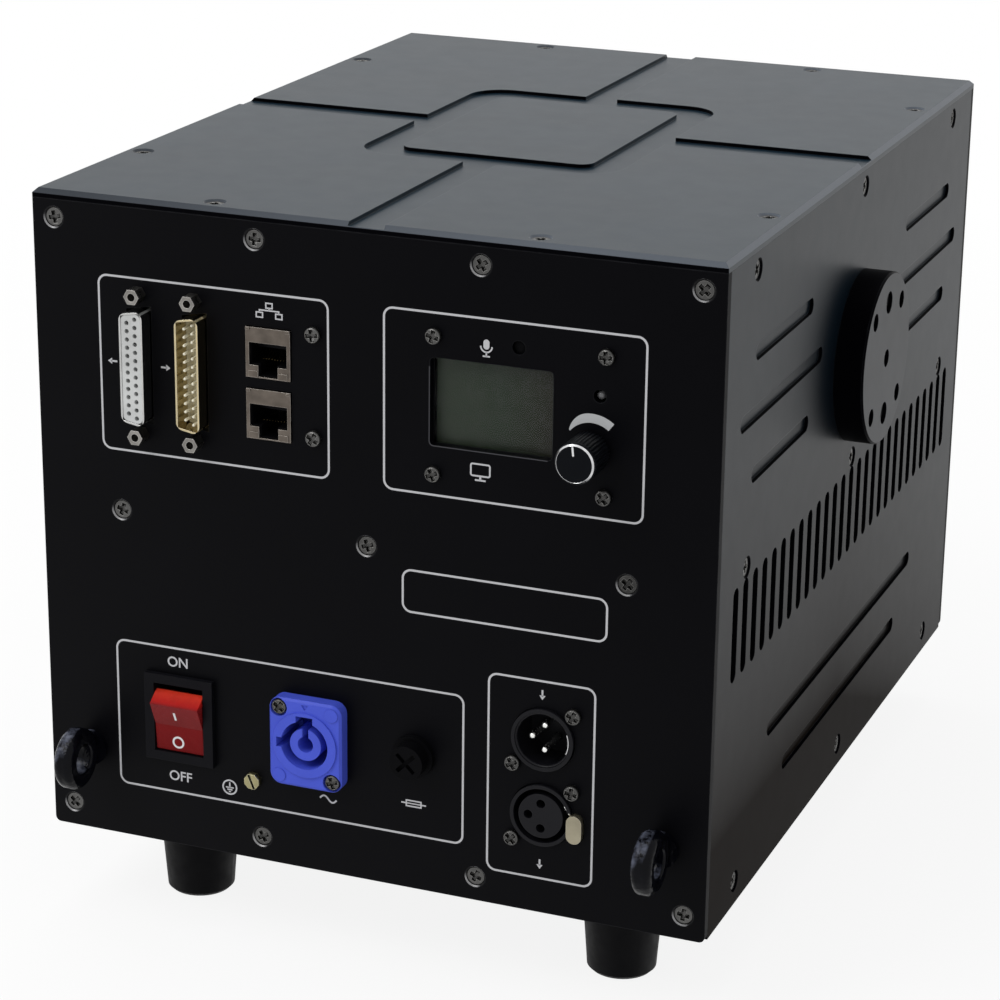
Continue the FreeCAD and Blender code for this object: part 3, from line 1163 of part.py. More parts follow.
def earth():
    """Slotted earth screw, tapped into the panel."""
    x, z = -d.earth_side, bottom + d.earth_height
    face = rear - d.earth_head_height
    head = rod("earth_head", "Y", x, (face, rear), z, d.earth_head_radius)
    shank = rod("earth_shank", "Y", x, (face, rear + d.earth_length), z, d.earth_radius)
    slot = block("earth_slot", about(x, 2 * d.earth_head_radius + d.overrun),
                 (face - d.overrun, face + d.earth_slot_depth), about(z, d.earth_slot_width))
    node(cut("earth_screw", union("earth_blank", head, shank), slot), "earth_screw")


def xlr_case(height, rooms):
    """Round socket case with a flange behind the panel, which takes the two screws."""
    x, z = xlr_side, bottom + height
    case = rod("xlr_barrel", "Y", x, (rear - d.xlr_reach, rear + d.xlr_depth), z, d.xlr_radius)
    flange = block("xlr_plate", about(x, d.xlr_flange_width), (inside, inside + d.xlr_flange_thickness),
                   about(z, d.xlr_flange_height))
    for sign in (1, -1):
        rooms.append(rod("xlr_tap", "Y", x + sign * d.xlr_screw_side,
                         (inside - d.overrun, inside + d.xlr_flange_thickness + d.overrun),
                         z + sign * d.xlr_screw_rise, d.pan_radius + d.fit))
    return cut("xlr_case", union("xlr_blank", case, flange), *rooms)


def xlr_pins(height, radius, depth):
    """Rods at the three pin places."""
    x, z = xlr_side, bottom + height
    return [rod("xlr_pin", "Y", x + d.xlr_pin_circle * math.cos(math.radians(turn)), depth,
                z + d.xlr_pin_circle * math.sin(math.radians(turn)), radius) for turn in XLR_PIN_ANGLES]


def xlr_sockets():
    """The data input with pins, the output with holes, and the output's release latch."""
    x, face = xlr_side, rear - d.xlr_reach
    bottom_of_bore = rear + d.xlr_depth - d.xlr_floor
    mouth = (face - d.overrun, bottom_of_bore)
    z = bottom + xlr_in_height
    bore = rod("xlr_bore", "Y", x, mouth, z, d.xlr_bore_radius)
    key = block("xlr_key", (x + d.xlr_bore_radius - d.xlr_key_height, x + d.xlr_radius - d.clearance),
                (rear, bottom_of_bore), about(z, d.xlr_key_width))
    seats = xlr_pins(xlr_in_height, d.xlr_pin_radius + d.fit,
                     (bottom_of_bore - d.overrun, rear + d.xlr_depth + d.overrun))
    case = xlr_case(xlr_in_height, [bore] + seats)
    node(union("xlr_in_shell", case, key), "xlr_in_shell")
    pins = xlr_pins(xlr_in_height, d.xlr_pin_radius,
                    (rear + d.xlr_pin_drop, rear + d.xlr_depth + d.overrun))
    node(group("xlr_in_pins", pins), "xlr_in_pins")

    z = bottom + d.xlr_out_height
    core = rod("xlr_core", "Y", x, (face - 2 * d.overrun, bottom_of_bore + d.overrun), z, d.xlr_core_radius)
    ring = cut("xlr_ring", rod("xlr_bore", "Y", x, mouth, z, d.xlr_bore_radius), core)
    holes = xlr_pins(d.xlr_out_height, d.xlr_hole_radius, (face - d.overrun, face + d.xlr_hole_depth))
    latch_end = rear - d.latch_reach + d.latch_depth + d.latch_travel + d.latch_room
    slot = block("latch_way", about(x + d.latch_offset, d.latch_width + 2 * d.clearance),
                 (face - d.overrun, latch_end), about(z - d.latch_drop, d.latch_height + 2 * d.clearance))
    node(xlr_case(d.xlr_out_height, [ring, slot] + holes), "xlr_out_shell")

    body = place(new_body("xlr_out_latch"), x + d.latch_offset, rear - d.latch_reach, z - d.latch_drop)
    tab = Outline(body, "tab", "XZ_Plane").slot(0, 0, d.latch_height, d.latch_width, upright=True)
    pad(body, "tab_pad", tab.done(), d.latch_depth, back=True)
    node(body, "xlr_out_latch")


def beam_exit():
    """Pane in the front plate's opening, held by a beveled frame."""
    x, z = d.exit_side, bottom + exit_height
    pane = block("window_glass", about(x, d.exit_width - 2 * d.clearance),
                 (front - d.wall_thickness, front), about(z, d.exit_rise - 2 * d.clearance))
    node(pane, "window_glass")
    body = place(new_body("window_frame"), x, front, z, Rotation(Vector(0, 0, 1), 180))
    rim = Outline(body, "rim", "XZ_Plane")
    rim.rectangle(about(0, d.exit_width + 2 * d.exit_rim), about(0, d.exit_rise + 2 * d.exit_rim))
    rim.rectangle(about(0, d.exit_width - 2 * d.exit_lip), about(0, d.exit_rise - 2 * d.exit_lip))
    frame = pad(body, "rim_pad", rim.done(), d.exit_reach)
    face = edges_of(frame, lambda edge: abs(edge.CenterOfMass.y - frame.Shape.BoundBox.YMin) < d.fit.value)
    soften(body, "Chamfer", frame, face, d.exit_bevel)
    holes = Outline(body, "screw_holes", "XZ_Plane", d.exit_reach)
    for side in both((d.exit_width + d.exit_rim) / 2):
        for rise in both((d.exit_rise + d.exit_rim) / 2):
            holes.circle(side, rise, d.pan_radius + d.clearance)
    pocket(body, "screw_hole_cut", holes.done())
    node(body, "window_frame")


def lasers():
    """Three laser modules and the mirrors that join their beams and fold them to the scanner."""
    beam = deck_top + d.beam_height
    modules, mirrors = [], []
    for k in range(3):
        y = rear + d.laser_first_inset + k * d.laser_pitch
        case = block("laser_case", (-d.laser_side - d.laser_length, -d.laser_side), about(y, d.laser_width),
                     (deck_top, deck_top + d.laser_rise))
        nozzle = rod("laser_nozzle", "X", (-d.laser_side - d.overrun, -d.laser_side + d.nozzle_length),
                     y, beam, d.nozzle_radius)
        modules.append(union("laser_module", case, nozzle))
        mirrors.append(mirror_post(-d.fold_side, y, 45))
    mirrors.append(mirror_post(-d.fold_side, scan_y, 45))
    node(group("laser_modules", modules), "laser_modules")
    node(group("combiner_mirrors", mirrors), "combiner_mirrors")


def mirror_post(x, y, turn):
    """A glass plate on its post, turned about the upright."""
    beam = deck_top + d.beam_height
    post = block("mirror_foot", about(0, d.mirror_post_width), about(0, d.mirror_post_width),
                 (0, d.mirror_post_width))
    plate = block("mirror_plate", about(0, d.mirror_width), about(0, d.mirror_thickness),
                  (d.mirror_post_width / 2, d.beam_height + d.mirror_rise / 2))
    return place(union("mirror", post, plate), x, y, deck_top, Rotation(Vector(0, 0, 1), turn))


scan_x = d.exit_side
scan_y = front - d.scan_front_inset


def scanner():
    """Two scan motors in one block, and the small mirrors on their shafts, at right angles."""
    first, second = deck_top + d.beam_height, deck_top + d.beam_height + d.scan_rise
    y_face = scan_y - d.scan_first_length / 2 - d.scan_gap
    x_face = scan_x + d.scan_second_length / 2 + d.scan_gap
    wide = 2 * (d.motor_radius + d.block_skin)
    hold_first = block("hold_first", about(scan_x, wide), (y_face - d.block_length, y_face),
                       (deck_top, first + wide / 2))
    hold_second = block("hold_second", (x_face, x_face + d.block_length), about(scan_y, wide),
                        (deck_top, second + wide / 2))
    foot = block("hold_foot", (scan_x - wide / 2, x_face + d.block_length),
                 (y_face - d.block_length, scan_y + wide / 2),
                 (deck_top, deck_top + d.block_foot_thickness))
    reach = d.motor_length + d.overrun
    bores = [rod("motor_bore", "Y", scan_x, (y_face - reach, y_face + d.overrun), first,
                 d.motor_radius + d.fit),
             rod("motor_bore", "X", (x_face - d.overrun, x_face + reach), scan_y, second,
                 d.motor_radius + d.fit)]
    node(cut("scanner_block", union("block_blank", hold_first, hold_second, foot), *bores), "scanner_block")

    first_motor = rod("motor_first", "Y", scan_x, (y_face - d.motor_length, y_face), first, d.motor_radius)
    first_bore = rod("shaft_bore", "Y", scan_x,
                     (y_face - d.scan_shaft_length - d.clearance, y_face + d.overrun), first,
                     d.scan_shaft_radius + d.fit)
    second_motor = rod("motor_second", "X", (x_face, x_face + d.motor_length), scan_y, second,
                       d.motor_radius)
    second_bore = rod("shaft_bore", "X", (x_face - d.overrun, x_face + d.scan_shaft_length + d.clearance),
                      scan_y, second, d.scan_shaft_radius + d.fit)
    motors = [cut("scan_motor", first_motor, first_bore), cut("scan_motor", second_motor, second_bore)]
    node(group("scan_motors", motors), "scan_motors")

    scan_mirror("scan_mirror_x", "Y", first, d.scan_first_length, d.scan_first_width, y_face)
    scan_mirror("scan_mirror_y", "X", second, d.scan_second_length, d.scan_second_width, x_face)


def scan_mirror(label, axis, level, length, width, motor_face):
    """A mirror plate at 45 degrees on a shaft that runs into its motor."""
    run, thick, tall = about(0, length), about(0, d.scan_plate_thickness), about(0, width)
    if axis == "Y":
        plate = block("scan_plate", thick, run, tall)
        turn = Rotation(Vector(0, 1, 0), -45)
        reach = (motor_face - d.scan_shaft_length - scan_y, -length / 2 + d.overrun)
        shaft = rod("scan_shaft", "Y", 0, reach, 0, d.scan_shaft_radius)
    else:
        plate = block("scan_plate", run, thick, tall)
        turn = Rotation(Vector(1, 0, 0), 45)
        reach = (length / 2 - d.overrun, motor_face + d.scan_shaft_length - scan_x)
        shaft = rod("scan_shaft", "X", reach, 0, 0, d.scan_shaft_radius)
    node(place(union(label, plate, shaft), scan_x, scan_y, level, turn), label)


def heat_sink():
    """Finned block under the deck, its fins running from side to side."""
    fan_side = half - d.wall_thickness - d.fan_depth
    body = place(new_body("heat_sink"), 0, middle, deck_low)
    span = (-(half - d.wall_thickness - d.sink_gap), fan_side - d.sink_gap)
    base = Outline(body, "base", "YZ_Plane", span[0])
    base.rectangle(about(0, sink_length), (-d.sink_base_thickness, 0))
    pad(body, "base_pad", base.done(), span[1] - span[0])
    fin = Outline(body, "fin", "YZ_Plane", span[0])
    start = -(FINS - 1) / 2 * fin_pitch
    fin.rectangle(about(start, d.fin_thickness),
                  (-d.sink_base_thickness - d.fin_rise, -d.sink_base_thickness))
    first = pad(body, "fin_pad", fin.done(), span[1] - span[0])
    fins = body.newObject("PartDesign::LinearPattern", "fin_row")
    fins.Originals = [first]
    fins.Direction = (first.Profile[0], ["H_Axis"])
    fins.Mode = "Spacing"
    bind(fins, "Offset", fin_pitch)
    fins.Occurrences = FINS
    body.Tip = fins
    node(body, "heat_sink")


def fans():
    """Two square fans behind the right-hand vents, each a frame with a bladed rotor."""
    frames = []
    outer = half - d.wall_thickness
    inner = outer - d.fan_depth
    z = deck_low - d.fan_size / 2
    for label, y in (("fan_rotor_rear", middle - d.fan_reach), ("fan_rotor_front", middle + d.fan_reach)):
        case = block("fan_case", (inner, outer), about(y, d.fan_size), about(z, d.fan_size))
        duct = rod("fan_duct", "X", (inner - d.overrun, outer + d.overrun), y, z, d.fan_bore_radius)
        plate = (inner, inner + d.spider_thickness)
        seat = rod("fan_seat", "X", plate, y, z, d.fan_hub_radius)
        arms = [block("fan_arm", plate, about(y, 2 * d.fan_bore_radius + d.overrun),
                      about(z, d.spider_arm_width)),
                block("fan_arm", plate, about(y, d.spider_arm_width),
                      about(z, 2 * d.fan_bore_radius + d.overrun))]
        axle = rod("fan_axle_bore", "X", (inner - d.overrun, inner + d.spider_thickness + d.overrun), y, z,
                   d.fan_axle_radius + d.fit)
        frames.append(cut("fan_frame", union("fan_blank", cut("fan_ring", case, duct), seat, *arms), axle))
        fan_rotor(label, inner, y, z)
    node(group("fan_frames", frames), "fan_frames")


def fan_rotor(label, x, y, z):
    """Rotor drawn about its axle, which starts at x = 0 and turns in the frame's seat."""
    start = d.spider_thickness + d.spider_gap
    hub_body = rod("rotor_hub", "X", (start, start + d.fan_hub_length), 0, 0, d.fan_hub_radius)
    axle = rod("rotor_axle", "X", (0, start + d.overrun), 0, 0, d.fan_axle_radius)
    pitch = math.radians(BLADE_PITCH)
    vane = doc.addObject("Part::Box", "vane")
    bind(vane, "Length", d.blade_chord)
    bind(vane, "Width", d.blade_thickness)
    bind(vane, "Height", d.fan_bore_radius - d.fan_tip_gap - d.fan_hub_radius / 2)
    ahead, aside = math.cos(pitch), math.sin(pitch)
    x_shift = d.blade_thickness / 2 * aside - d.blade_chord / 2 * ahead
    y_shift = d.blade_chord / 2 * aside + d.blade_thickness / 2 * ahead
    place(vane, start + d.fan_hub_length / 2 + x_shift, -y_shift, d.fan_hub_radius / 2,
          Rotation(Vector(0, 0, 1), BLADE_PITCH))
    turns = [(Rotation(Vector(1, 0, 0), 360 * k / BLADES), 0, 0, 0) for k in range(BLADES)]
    vanes = copies("vane", group("vane_place", [vane]), turns)
    node(place(union(label, hub_body, axle, *vanes), x, y, z), label)


control_posts_at = [(control_side + x, rear + d.control_start_inset + d.control_length / 2 + y)
                    for x in both(d.control_width / 2 - d.control_inset)
                    for y in both(d.control_length / 2 - d.control_inset)]


def electronics():
    """Power supply and control board on the base plate."""
    left = -half + d.wall_thickness + d.rail_width + d.supply_inset
    start = rear + d.supply_start_inset
    node(block("power_supply", (left, left + d.supply_width), (start, start + supply_length),
               (floor, floor + d.supply_height)), "power_supply")
    low = floor + d.control_post_height
    y = (rear + d.control_start_inset, rear + d.control_start_inset + d.control_length)
    card = block("control_card", about(control_side, d.control_width), y, (low, low + d.board_thickness))
    chip = block("control_chip", about(control_side, d.chip_width),
                 about((y[0] + y[1]) / 2, d.chip_width), (low, low + d.board_thickness + d.chip_height))
    node(union("control_board", card, chip), "control_board")


rear_panel()
front_panel()
side_panel("right_side_panel", half, 0)
side_panel("left_side_panel", -half, 180)
top_cover()
base_plate()
rails()
optics_plate()
hub("hub_right", 1)
hub("hub_left", -1)
feet()
safety_eye("safety_eye_right", 1)
safety_eye("safety_eye_left", -1)
dsubs()
posts(network(), display())
switch()
inlet()
fuse()
earth()
xlr_sockets()
beam_exit()
lasers()
scanner()
heat_sink()
fans()
electronics()
fasteners()

doc.recompute()
failed = [thing.Name for thing in doc.Objects if {"Invalid", "Error"} & set(thing.State)]
failed += [piece.Label for piece in nodes if piece.Shape.isNull() or not piece.Shape.isValid()
           or not piece.Shape.Solids]
if failed:
    raise RuntimeError("failed pieces: " + ", ".join(failed))
os.makedirs("parts", exist_ok=True)
for piece in nodes:
    piece.Shape.exportStep(f"parts/{piece.Label}.step")
print(len(nodes), "nodes,", sum(len(piece.Shape.Solids) for piece in nodes), "solids")
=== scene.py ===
import json
import math

import bmesh
import bpy
from mathutils import Matrix, Vector


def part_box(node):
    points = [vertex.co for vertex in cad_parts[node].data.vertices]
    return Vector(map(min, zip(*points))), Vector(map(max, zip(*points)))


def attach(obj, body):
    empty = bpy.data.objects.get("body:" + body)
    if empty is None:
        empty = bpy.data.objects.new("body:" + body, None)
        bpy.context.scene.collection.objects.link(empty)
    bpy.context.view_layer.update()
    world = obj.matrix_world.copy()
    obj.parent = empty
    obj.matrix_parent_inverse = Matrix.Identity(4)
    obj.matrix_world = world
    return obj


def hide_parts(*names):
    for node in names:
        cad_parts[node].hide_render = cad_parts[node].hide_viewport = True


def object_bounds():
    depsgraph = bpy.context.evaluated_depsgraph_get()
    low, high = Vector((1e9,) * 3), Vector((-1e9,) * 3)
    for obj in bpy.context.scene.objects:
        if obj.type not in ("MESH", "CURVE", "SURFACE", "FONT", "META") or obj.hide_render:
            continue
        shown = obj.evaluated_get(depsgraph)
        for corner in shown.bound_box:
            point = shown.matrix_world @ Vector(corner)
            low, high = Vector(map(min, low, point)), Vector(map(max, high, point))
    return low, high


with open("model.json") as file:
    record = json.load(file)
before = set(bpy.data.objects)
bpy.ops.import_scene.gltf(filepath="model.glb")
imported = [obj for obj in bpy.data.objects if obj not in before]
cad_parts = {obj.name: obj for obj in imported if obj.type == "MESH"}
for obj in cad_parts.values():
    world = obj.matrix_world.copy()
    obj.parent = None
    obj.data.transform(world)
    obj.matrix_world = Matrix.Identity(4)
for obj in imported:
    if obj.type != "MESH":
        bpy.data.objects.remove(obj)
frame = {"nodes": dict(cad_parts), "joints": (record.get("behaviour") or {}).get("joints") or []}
cad_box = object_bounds()
nodes = frame["nodes"]

# the connector panel's low corner gives its outer face and the case's underside
panel_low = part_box("rear_panel")[0]
PANEL_Y = panel_low.y
CASE_LOW = panel_low.z

# lengths are in mm, apart from points and from what a comment says is in metres
MM = 0.001
INK = 0.05  # thickness of print
TIP = 0.02  # radius of a turned profile where it meets its axis
INWARDS = (0, 1, 0)  # from the connector panel into the case
UP = (0, 0, 1)


def at(x, z, out=0.0):
    """A point on the connector panel: mm from the middle, mm up from the case's underside, mm in front."""
    return Vector((x * MM, PANEL_Y - out * MM, CASE_LOW + z * MM))


def front_middle(node):
    """The middle of a node's side that looks out of the connector panel."""
    low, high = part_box(node)
    return Vector(((low.x + high.x) / 2, low.y, (low.z + high.z) / 2))


# ---------------------------------------------------------------- materials

BEVEL_SAMPLES = 4
HOLLOW_SAMPLES = 6
# sockets of a Mix node that blends colours
MIX_SHARE, MIX_A, MIX_B, MIX_RESULT = 0, 6, 7, 2


class Shader:
    """A Principled material whose colour, roughness and bump come from noise in the piece's own space.

    facing is the share of its reflection that is left where it is seen straight on.
    """

    def __init__(self, name, rough, metallic=0.0, specular=0.5, facing=1.0):
        self.mat = bpy.data.materials.new(name)
        self.mat.use_nodes = True
        self.tree = self.mat.node_tree
        self.bsdf = self.tree.nodes["Principled BSDF"]
        self.to("Roughness", rough).to("Metallic", metallic).to("Specular IOR Level", specular)
        self.to("Specular Tint", (facing, facing, facing, 1.0))
        self.place = self.add("ShaderNodeTexCoord").outputs["Object"]
        self.normal = None

    def feed(self, socket, value):
        """Link a node's output to a socket, or set the socket's own value."""
        if isinstance(value, bpy.types.NodeSocket):
            self.tree.links.new(value, socket)
        else:
            socket.default_value = value

    def to(self, name, value):
        self.feed(self.bsdf.inputs[name], value)
        return self

    def add(self, kind, **inputs):
        made = self.tree.nodes.new(kind)
        for name, value in inputs.items():
            self.feed(made.inputs[name.replace("_", " ")], value)
        return made

    def axis(self, name):
        """The place along one axis, in metres."""
        return self.add("ShaderNodeSeparateXYZ", Vector=self.place).outputs[name]

    def stretched(self, scale):
        return self.add("ShaderNodeMapping", Vector=self.place, Scale=scale).outputs["Vector"]

    def noise(self, size_mm, detail, rough=0.55, stretch=None):
        where = self.stretched(stretch) if stretch else self.place
        return self.add("ShaderNodeTexNoise", Vector=where, Scale=1 / MM / size_mm, Detail=detail,
                        Roughness=rough).outputs["Fac"]

    def ramp(self, fac, *stops):
        """Colours at stops of (value, colour), blended in between."""
        made = self.add("ShaderNodeValToRGB", Fac=fac)
        elements = made.color_ramp.elements
        while len(elements) < len(stops):
            elements.new(0.5)
        for element, (spot, colour) in zip(elements, stops):
            element.position = spot
            element.color = (*colour, 1.0)
        return made.outputs["Color"]

    def range(self, fac, low, high, start=0.25, end=0.75):
        """A value that goes from low to high while fac goes from start to end."""
        return self.add("ShaderNodeMapRange", Value=fac, From_Min=start, From_Max=end,
                        To_Min=low, To_Max=high).outputs["Result"]

    def mix(self, share, a, b):
        """Colour a where the share is nothing, colour b where it is one."""
        made = self.add("ShaderNodeMix")
        made.data_type = "RGBA"
        self.feed(made.inputs[MIX_SHARE], share)
        for socket, colour in ((MIX_A, a), (MIX_B, b)):
            self.feed(made.inputs[socket], (*colour, 1.0) if isinstance(colour, tuple) else colour)
        return made.outputs[MIX_RESULT]

    def math(self, operation, *values):
        made = self.add("ShaderNodeMath")
        made.operation = operation
        for socket, value in zip(made.inputs, values):
            self.feed(socket, value)
        return made.outputs[0]

    def clouds(self, colour, size_mm, detail, dark, light):
        """A colour that drifts between two shares of itself."""
        return self.ramp(self.noise(size_mm, detail), (0.3, shade(colour, dark)), (0.7, shade(colour, light)))

    def uneven(self, rough, size_mm, detail, low, high):
        """Roughness that drifts between two shares of a value."""
        return self.to("Roughness", self.range(self.noise(size_mm, detail), rough * low, rough * high))

    def bevel(self, radius_mm):
        """Normals that round the edges off."""
        made = self.add("ShaderNodeBevel", Radius=radius_mm * MM)
        made.samples = BEVEL_SAMPLES
        return made.outputs["Normal"]

    def soft_edges(self, radius_mm):
        self.normal = self.bevel(radius_mm)
        return self

    def along(self, way):
        """How far the face's own normal goes along a way, which is fixed or another normal."""
        made = self.add("ShaderNodeVectorMath")
        made.operation = "DOT_PRODUCT"
        self.feed(made.inputs[0], self.add("ShaderNodeNewGeometry").outputs["Normal"])
        self.feed(made.inputs[1], way)
        return made.outputs["Value"]

    def edge_mask(self, radius_mm):
        """One along sharp edges, nothing on flat ground."""
        return self.range(self.along(self.bevel(radius_mm)), 1.0, 0.0, 0.75, 0.985)

    def looking(self, way, start, end, either=False):
        """One where the face looks along a way, or also against it, nothing where it looks aside."""
        share = self.along(way)
        if either:
            share = self.math("ABSOLUTE", share)
        return self.range(share, 0.0, 1.0, start, end)

    def hollow_shade_mask(self, reach_mm):
        """One on open faces, less down in slots and recesses of the same piece."""
        made = self.add("ShaderNodeAmbientOcclusion", Distance=reach_mm * MM)
        made.samples = HOLLOW_SAMPLES
        made.only_local = True
        return self.range(made.outputs["AO"], 0.0, 1.0, 0.35, 0.9)

    def bump(self, height, strength, depth_mm):
        made = self.add("ShaderNodeBump", Height=height, Strength=strength, Distance=depth_mm * MM)
        if self.normal:
            self.feed(made.inputs["Normal"], self.normal)
        self.normal = made.outputs["Normal"]
        return self

    def done(self):
        if self.normal:
            self.to("Normal", self.normal)
        return self.mat


def shade(colour, amount):
    return tuple(part * amount for part in colour)


# painted shade in slots and on edges of the coated plates
SLOT_SHADE = (0.0015, 0.0015, 0.0022)
# painted shade down in the recesses of metal parts
HOLLOW_SHADE = (0.004, 0.004, 0.004)
RUBBED_EDGE = (0.080, 0.083, 0.092)
# painted shade towards the floor, on a plate with a low colour: its sheen there, the heights in metres between which
# it changes, and how much a metre further back counts as height
SHADE_SHEEN = 0.004
SHADE_FROM, SHADE_TO = CASE_LOW + 0.03, CASE_LOW + 0.19
BACK_RISE = 0.4


def coated(name, colour, rough, facing, wear, flat, grain_mm=0.45, specular=0.5, low=None, chamfer_highlight=None):
    """Powder-coated or anodised plate: dull seen straight on, a sheen along it, fine grain and rubbed edges.

    Faces that look along none of the axes in flat, as in slots and along edges, get painted shade: black, with
    little sheen.
    With a low colour the plate turns to it and loses its sheen towards the floor, less so further back: painted
    shade.
    With a chamfer highlight colour its chamfers get that painted highlight, more to the right.
    """
    s = Shader(name, rough, specular=specular, facing=facing).soft_edges(0.35)
    tone = s.clouds(colour, 30, 4, 0.92, 1.1)
    sheen = specular
    # painted shade: darker and duller towards the floor, less so further back
    if low:
        rise = s.math("MULTIPLY_ADD", s.math("MAXIMUM", s.axis("Y"), 0.0), BACK_RISE, s.axis("Z"))
        height = s.range(rise, 0.0, 1.0, SHADE_FROM, SHADE_TO)
        tone = s.mix(height, low, tone)
        sheen = s.range(height, SHADE_SHEEN, specular, 0.0, 1.0)
    # painted shade: faces that look aside, as slot walls and edges, turn black and lose most of their sheen
    face = s.looking(flat, 0.8, 0.96, either=True)
    tone = s.mix(face, SLOT_SHADE, tone)
    s.to("Specular IOR Level", s.math("MULTIPLY", s.range(face, 0.1, 1.0, 0.0, 1.0), sheen))
    # painted highlight on the chamfers, brighter towards the right
    if chamfer_highlight:
        across = s.range(s.axis("X"), 0.0, 1.0, cad_box[0].x, cad_box[1].x)
        painted_chamfer = s.ramp(across, (0.1, shade(chamfer_highlight, 0.45)), (0.75, chamfer_highlight))
        chamfer = s.math("MULTIPLY", s.looking(UP, 0.35, 0.5), s.looking(UP, 0.96, 0.88))
        tone = s.mix(chamfer, tone, painted_chamfer)
    rub = s.math("MULTIPLY", s.edge_mask(0.5), s.range(s.noise(7, 4), 0.3 * wear, wear, 0.38, 0.68))
    s.to("Base Color", s.mix(rub, tone, RUBBED_EDGE))
    s.uneven(rough, 9, 5, 0.97, 1.04)
    s.bump(s.noise(grain_mm, 2, 0.4), 0.18, 0.05)
    return s.done()


def plastic(name, colour, rough, grain_mm=0.6, strength=0.12, facing=1.0, edge=0.2, vary=0.12, specular=0.5):
    """Moulded plastic: slight tone changes, spark-eroded grain and soft edges."""
    s = Shader(name, rough, specular=specular, facing=facing).soft_edges(edge)
    s.to("Base Color", s.clouds(colour, 12, 4, 1 - vary, 1 + vary))
    s.uneven(rough, 4, 4, 0.85, 1.15)
    s.bump(s.noise(grain_mm, 2), strength, 0.04)
    return s.done()


def metal(name, colour, rough, brush=None, vary=0.14, marks=0.1, rim=None, cloud_mm=6, hollow_shade=None):
    """Plated or machined metal, brushed along one way if asked, with a painted highlight on its edges and painted
    shade in its hollows if asked.
    """
    s = Shader(name, rough, metallic=1.0).soft_edges(0.12)
    tone = s.clouds(colour, cloud_mm, 5, 1 - vary, 1 + vary)
    # painted highlight along the edges
    if rim:
        tone = s.mix(s.edge_mask(0.35), tone, rim)
    # painted shade down in recesses
    if hollow_shade:
        tone = s.mix(s.hollow_shade_mask(hollow_shade), HOLLOW_SHADE, tone)
    s.to("Base Color", tone)
    s.uneven(rough, 2.5, 5, 0.75, 1.25)
    s.bump(s.noise(1.2, 3, 0.6, brush), marks, 0.03)
    return s.done()


def enamel(name, colour, glint, rough, lump_mm, depth_mm, specular):
    """Thick glossy paint with a lumpy skin, with painted highlights in patches where it faces up and to the front
    left, towards the key lamp.
    """
    s = Shader(name, rough, specular=specular)
    tone = s.clouds(colour, 6, 4, 0.8, 1.3)
    # painted highlight: patches that face the key lamp turn to the glint colour
    upper = s.looking((-0.55, -0.35, 0.76), 0.6, 0.85)
    glint_patch = s.math("MULTIPLY", upper, s.range(s.noise(2.6, 4, 0.6), 0.0, 1.0, 0.4, 0.66))
    s.to("Base Color", s.mix(glint_patch, tone, glint))
    s.uneven(rough, 2.5, 4, 0.7, 1.5)
    s.bump(s.noise(lump_mm, 3, 0.6), 1.0, depth_mm)
    return s.done()


def lit_metal(name, colour, shadow, way, start, end, rough, metallic):
    """Bare metal with painted light: bright where it looks along a way, as if lit from there, and painted shade
    where it looks aside.
    """
    s = Shader(name, rough, metallic=metallic)
    s.to("Base Color", s.mix(s.looking(way, start, end), shadow, s.clouds(colour, 3, 4, 0.8, 1.2)))
    s.uneven(rough, 2, 3, 0.85, 1.15)
    return s.done()


def rocker_red():
    """Tinted translucent red, painted darker low down and painted bright on the top slope, where it catches the
    light.
    """
    s = Shader("rocker_red", 0.3, specular=0.12, facing=0.3).soft_edges(0.3)
    low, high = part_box("switch_rocker")
    # painted light: shaded red low down up to a painted highlight on the top slope
    base = s.ramp(s.range(s.axis("Z"), 0.0, 1.0, low.z, high.z),
                  (0.0, (0.16, 0.007, 0.008)), (0.55, (0.19, 0.010, 0.011)), (0.83, (0.21, 0.012, 0.014)),
                  (0.87, (0.42, 0.011, 0.010)), (1.0, (0.62, 0.040, 0.018)))
    dark = s.range(s.noise(5, 5), 0.0, 0.35, 0.45, 0.75)
    s.to("Base Color", s.mix(dark, base, (0.13, 0.006, 0.006)))
    s.to("Subsurface Weight", 0.2).to("Subsurface Radius", (1.0, 0.12, 0.06)).to("Subsurface Scale", 2.0 * MM)
    s.to("Roughness", s.range(s.noise(3, 4), 0.2, 0.32))
    s.bump(s.noise(0.8, 2), 0.05, 0.03)
    return s.done()


def clear(name, tint, alpha):
    """A clear pane: mostly see-through, with a faint film of dust."""
    rough, film = 0.03, 0.12
    s = Shader(name, rough, facing=0.5).to("Alpha", alpha)
    dust = s.noise(3, 6, 0.7)
    s.to("Base Color", s.ramp(dust, (0.45, tint), (0.75, tuple(part + film for part in tint))))
    s.to("Roughness", s.range(dust, rough, rough + film, 0.45, 0.8))
    return s.done()


def screen_face():
    """Unlit display: grey-green at the left, browner at the right, with the faint grid of its cells."""
    s = Shader("display_face", 0.22, facing=0.4)
    low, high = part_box("display_lens")
    base = s.ramp(s.range(s.axis("X"), 0.0, 1.0, low.x, high.x),
                  (0.0, (0.034, 0.049, 0.030)), (0.55, (0.026, 0.039, 0.024)), (1.0, (0.023, 0.020, 0.014)))
    cell, gap = 0.00062, 0.00006  # metres
    grid = s.add("ShaderNodeTexBrick", Vector=s.stretched((1.0, 0.0, 1.0)), Scale=1.0, Mortar_Size=gap,
                 Brick_Width=cell, Row_Height=cell)
    grid.offset = 0.0
    lines = s.range(grid.outputs["Fac"], 0.0, 0.05, 0.0, 1.0)
    s.to("Base Color", s.mix(lines, base, (0.012, 0.014, 0.011)))
    s.to("Roughness", s.range(s.noise(8, 4), 0.18, 0.28))
    return s.done()


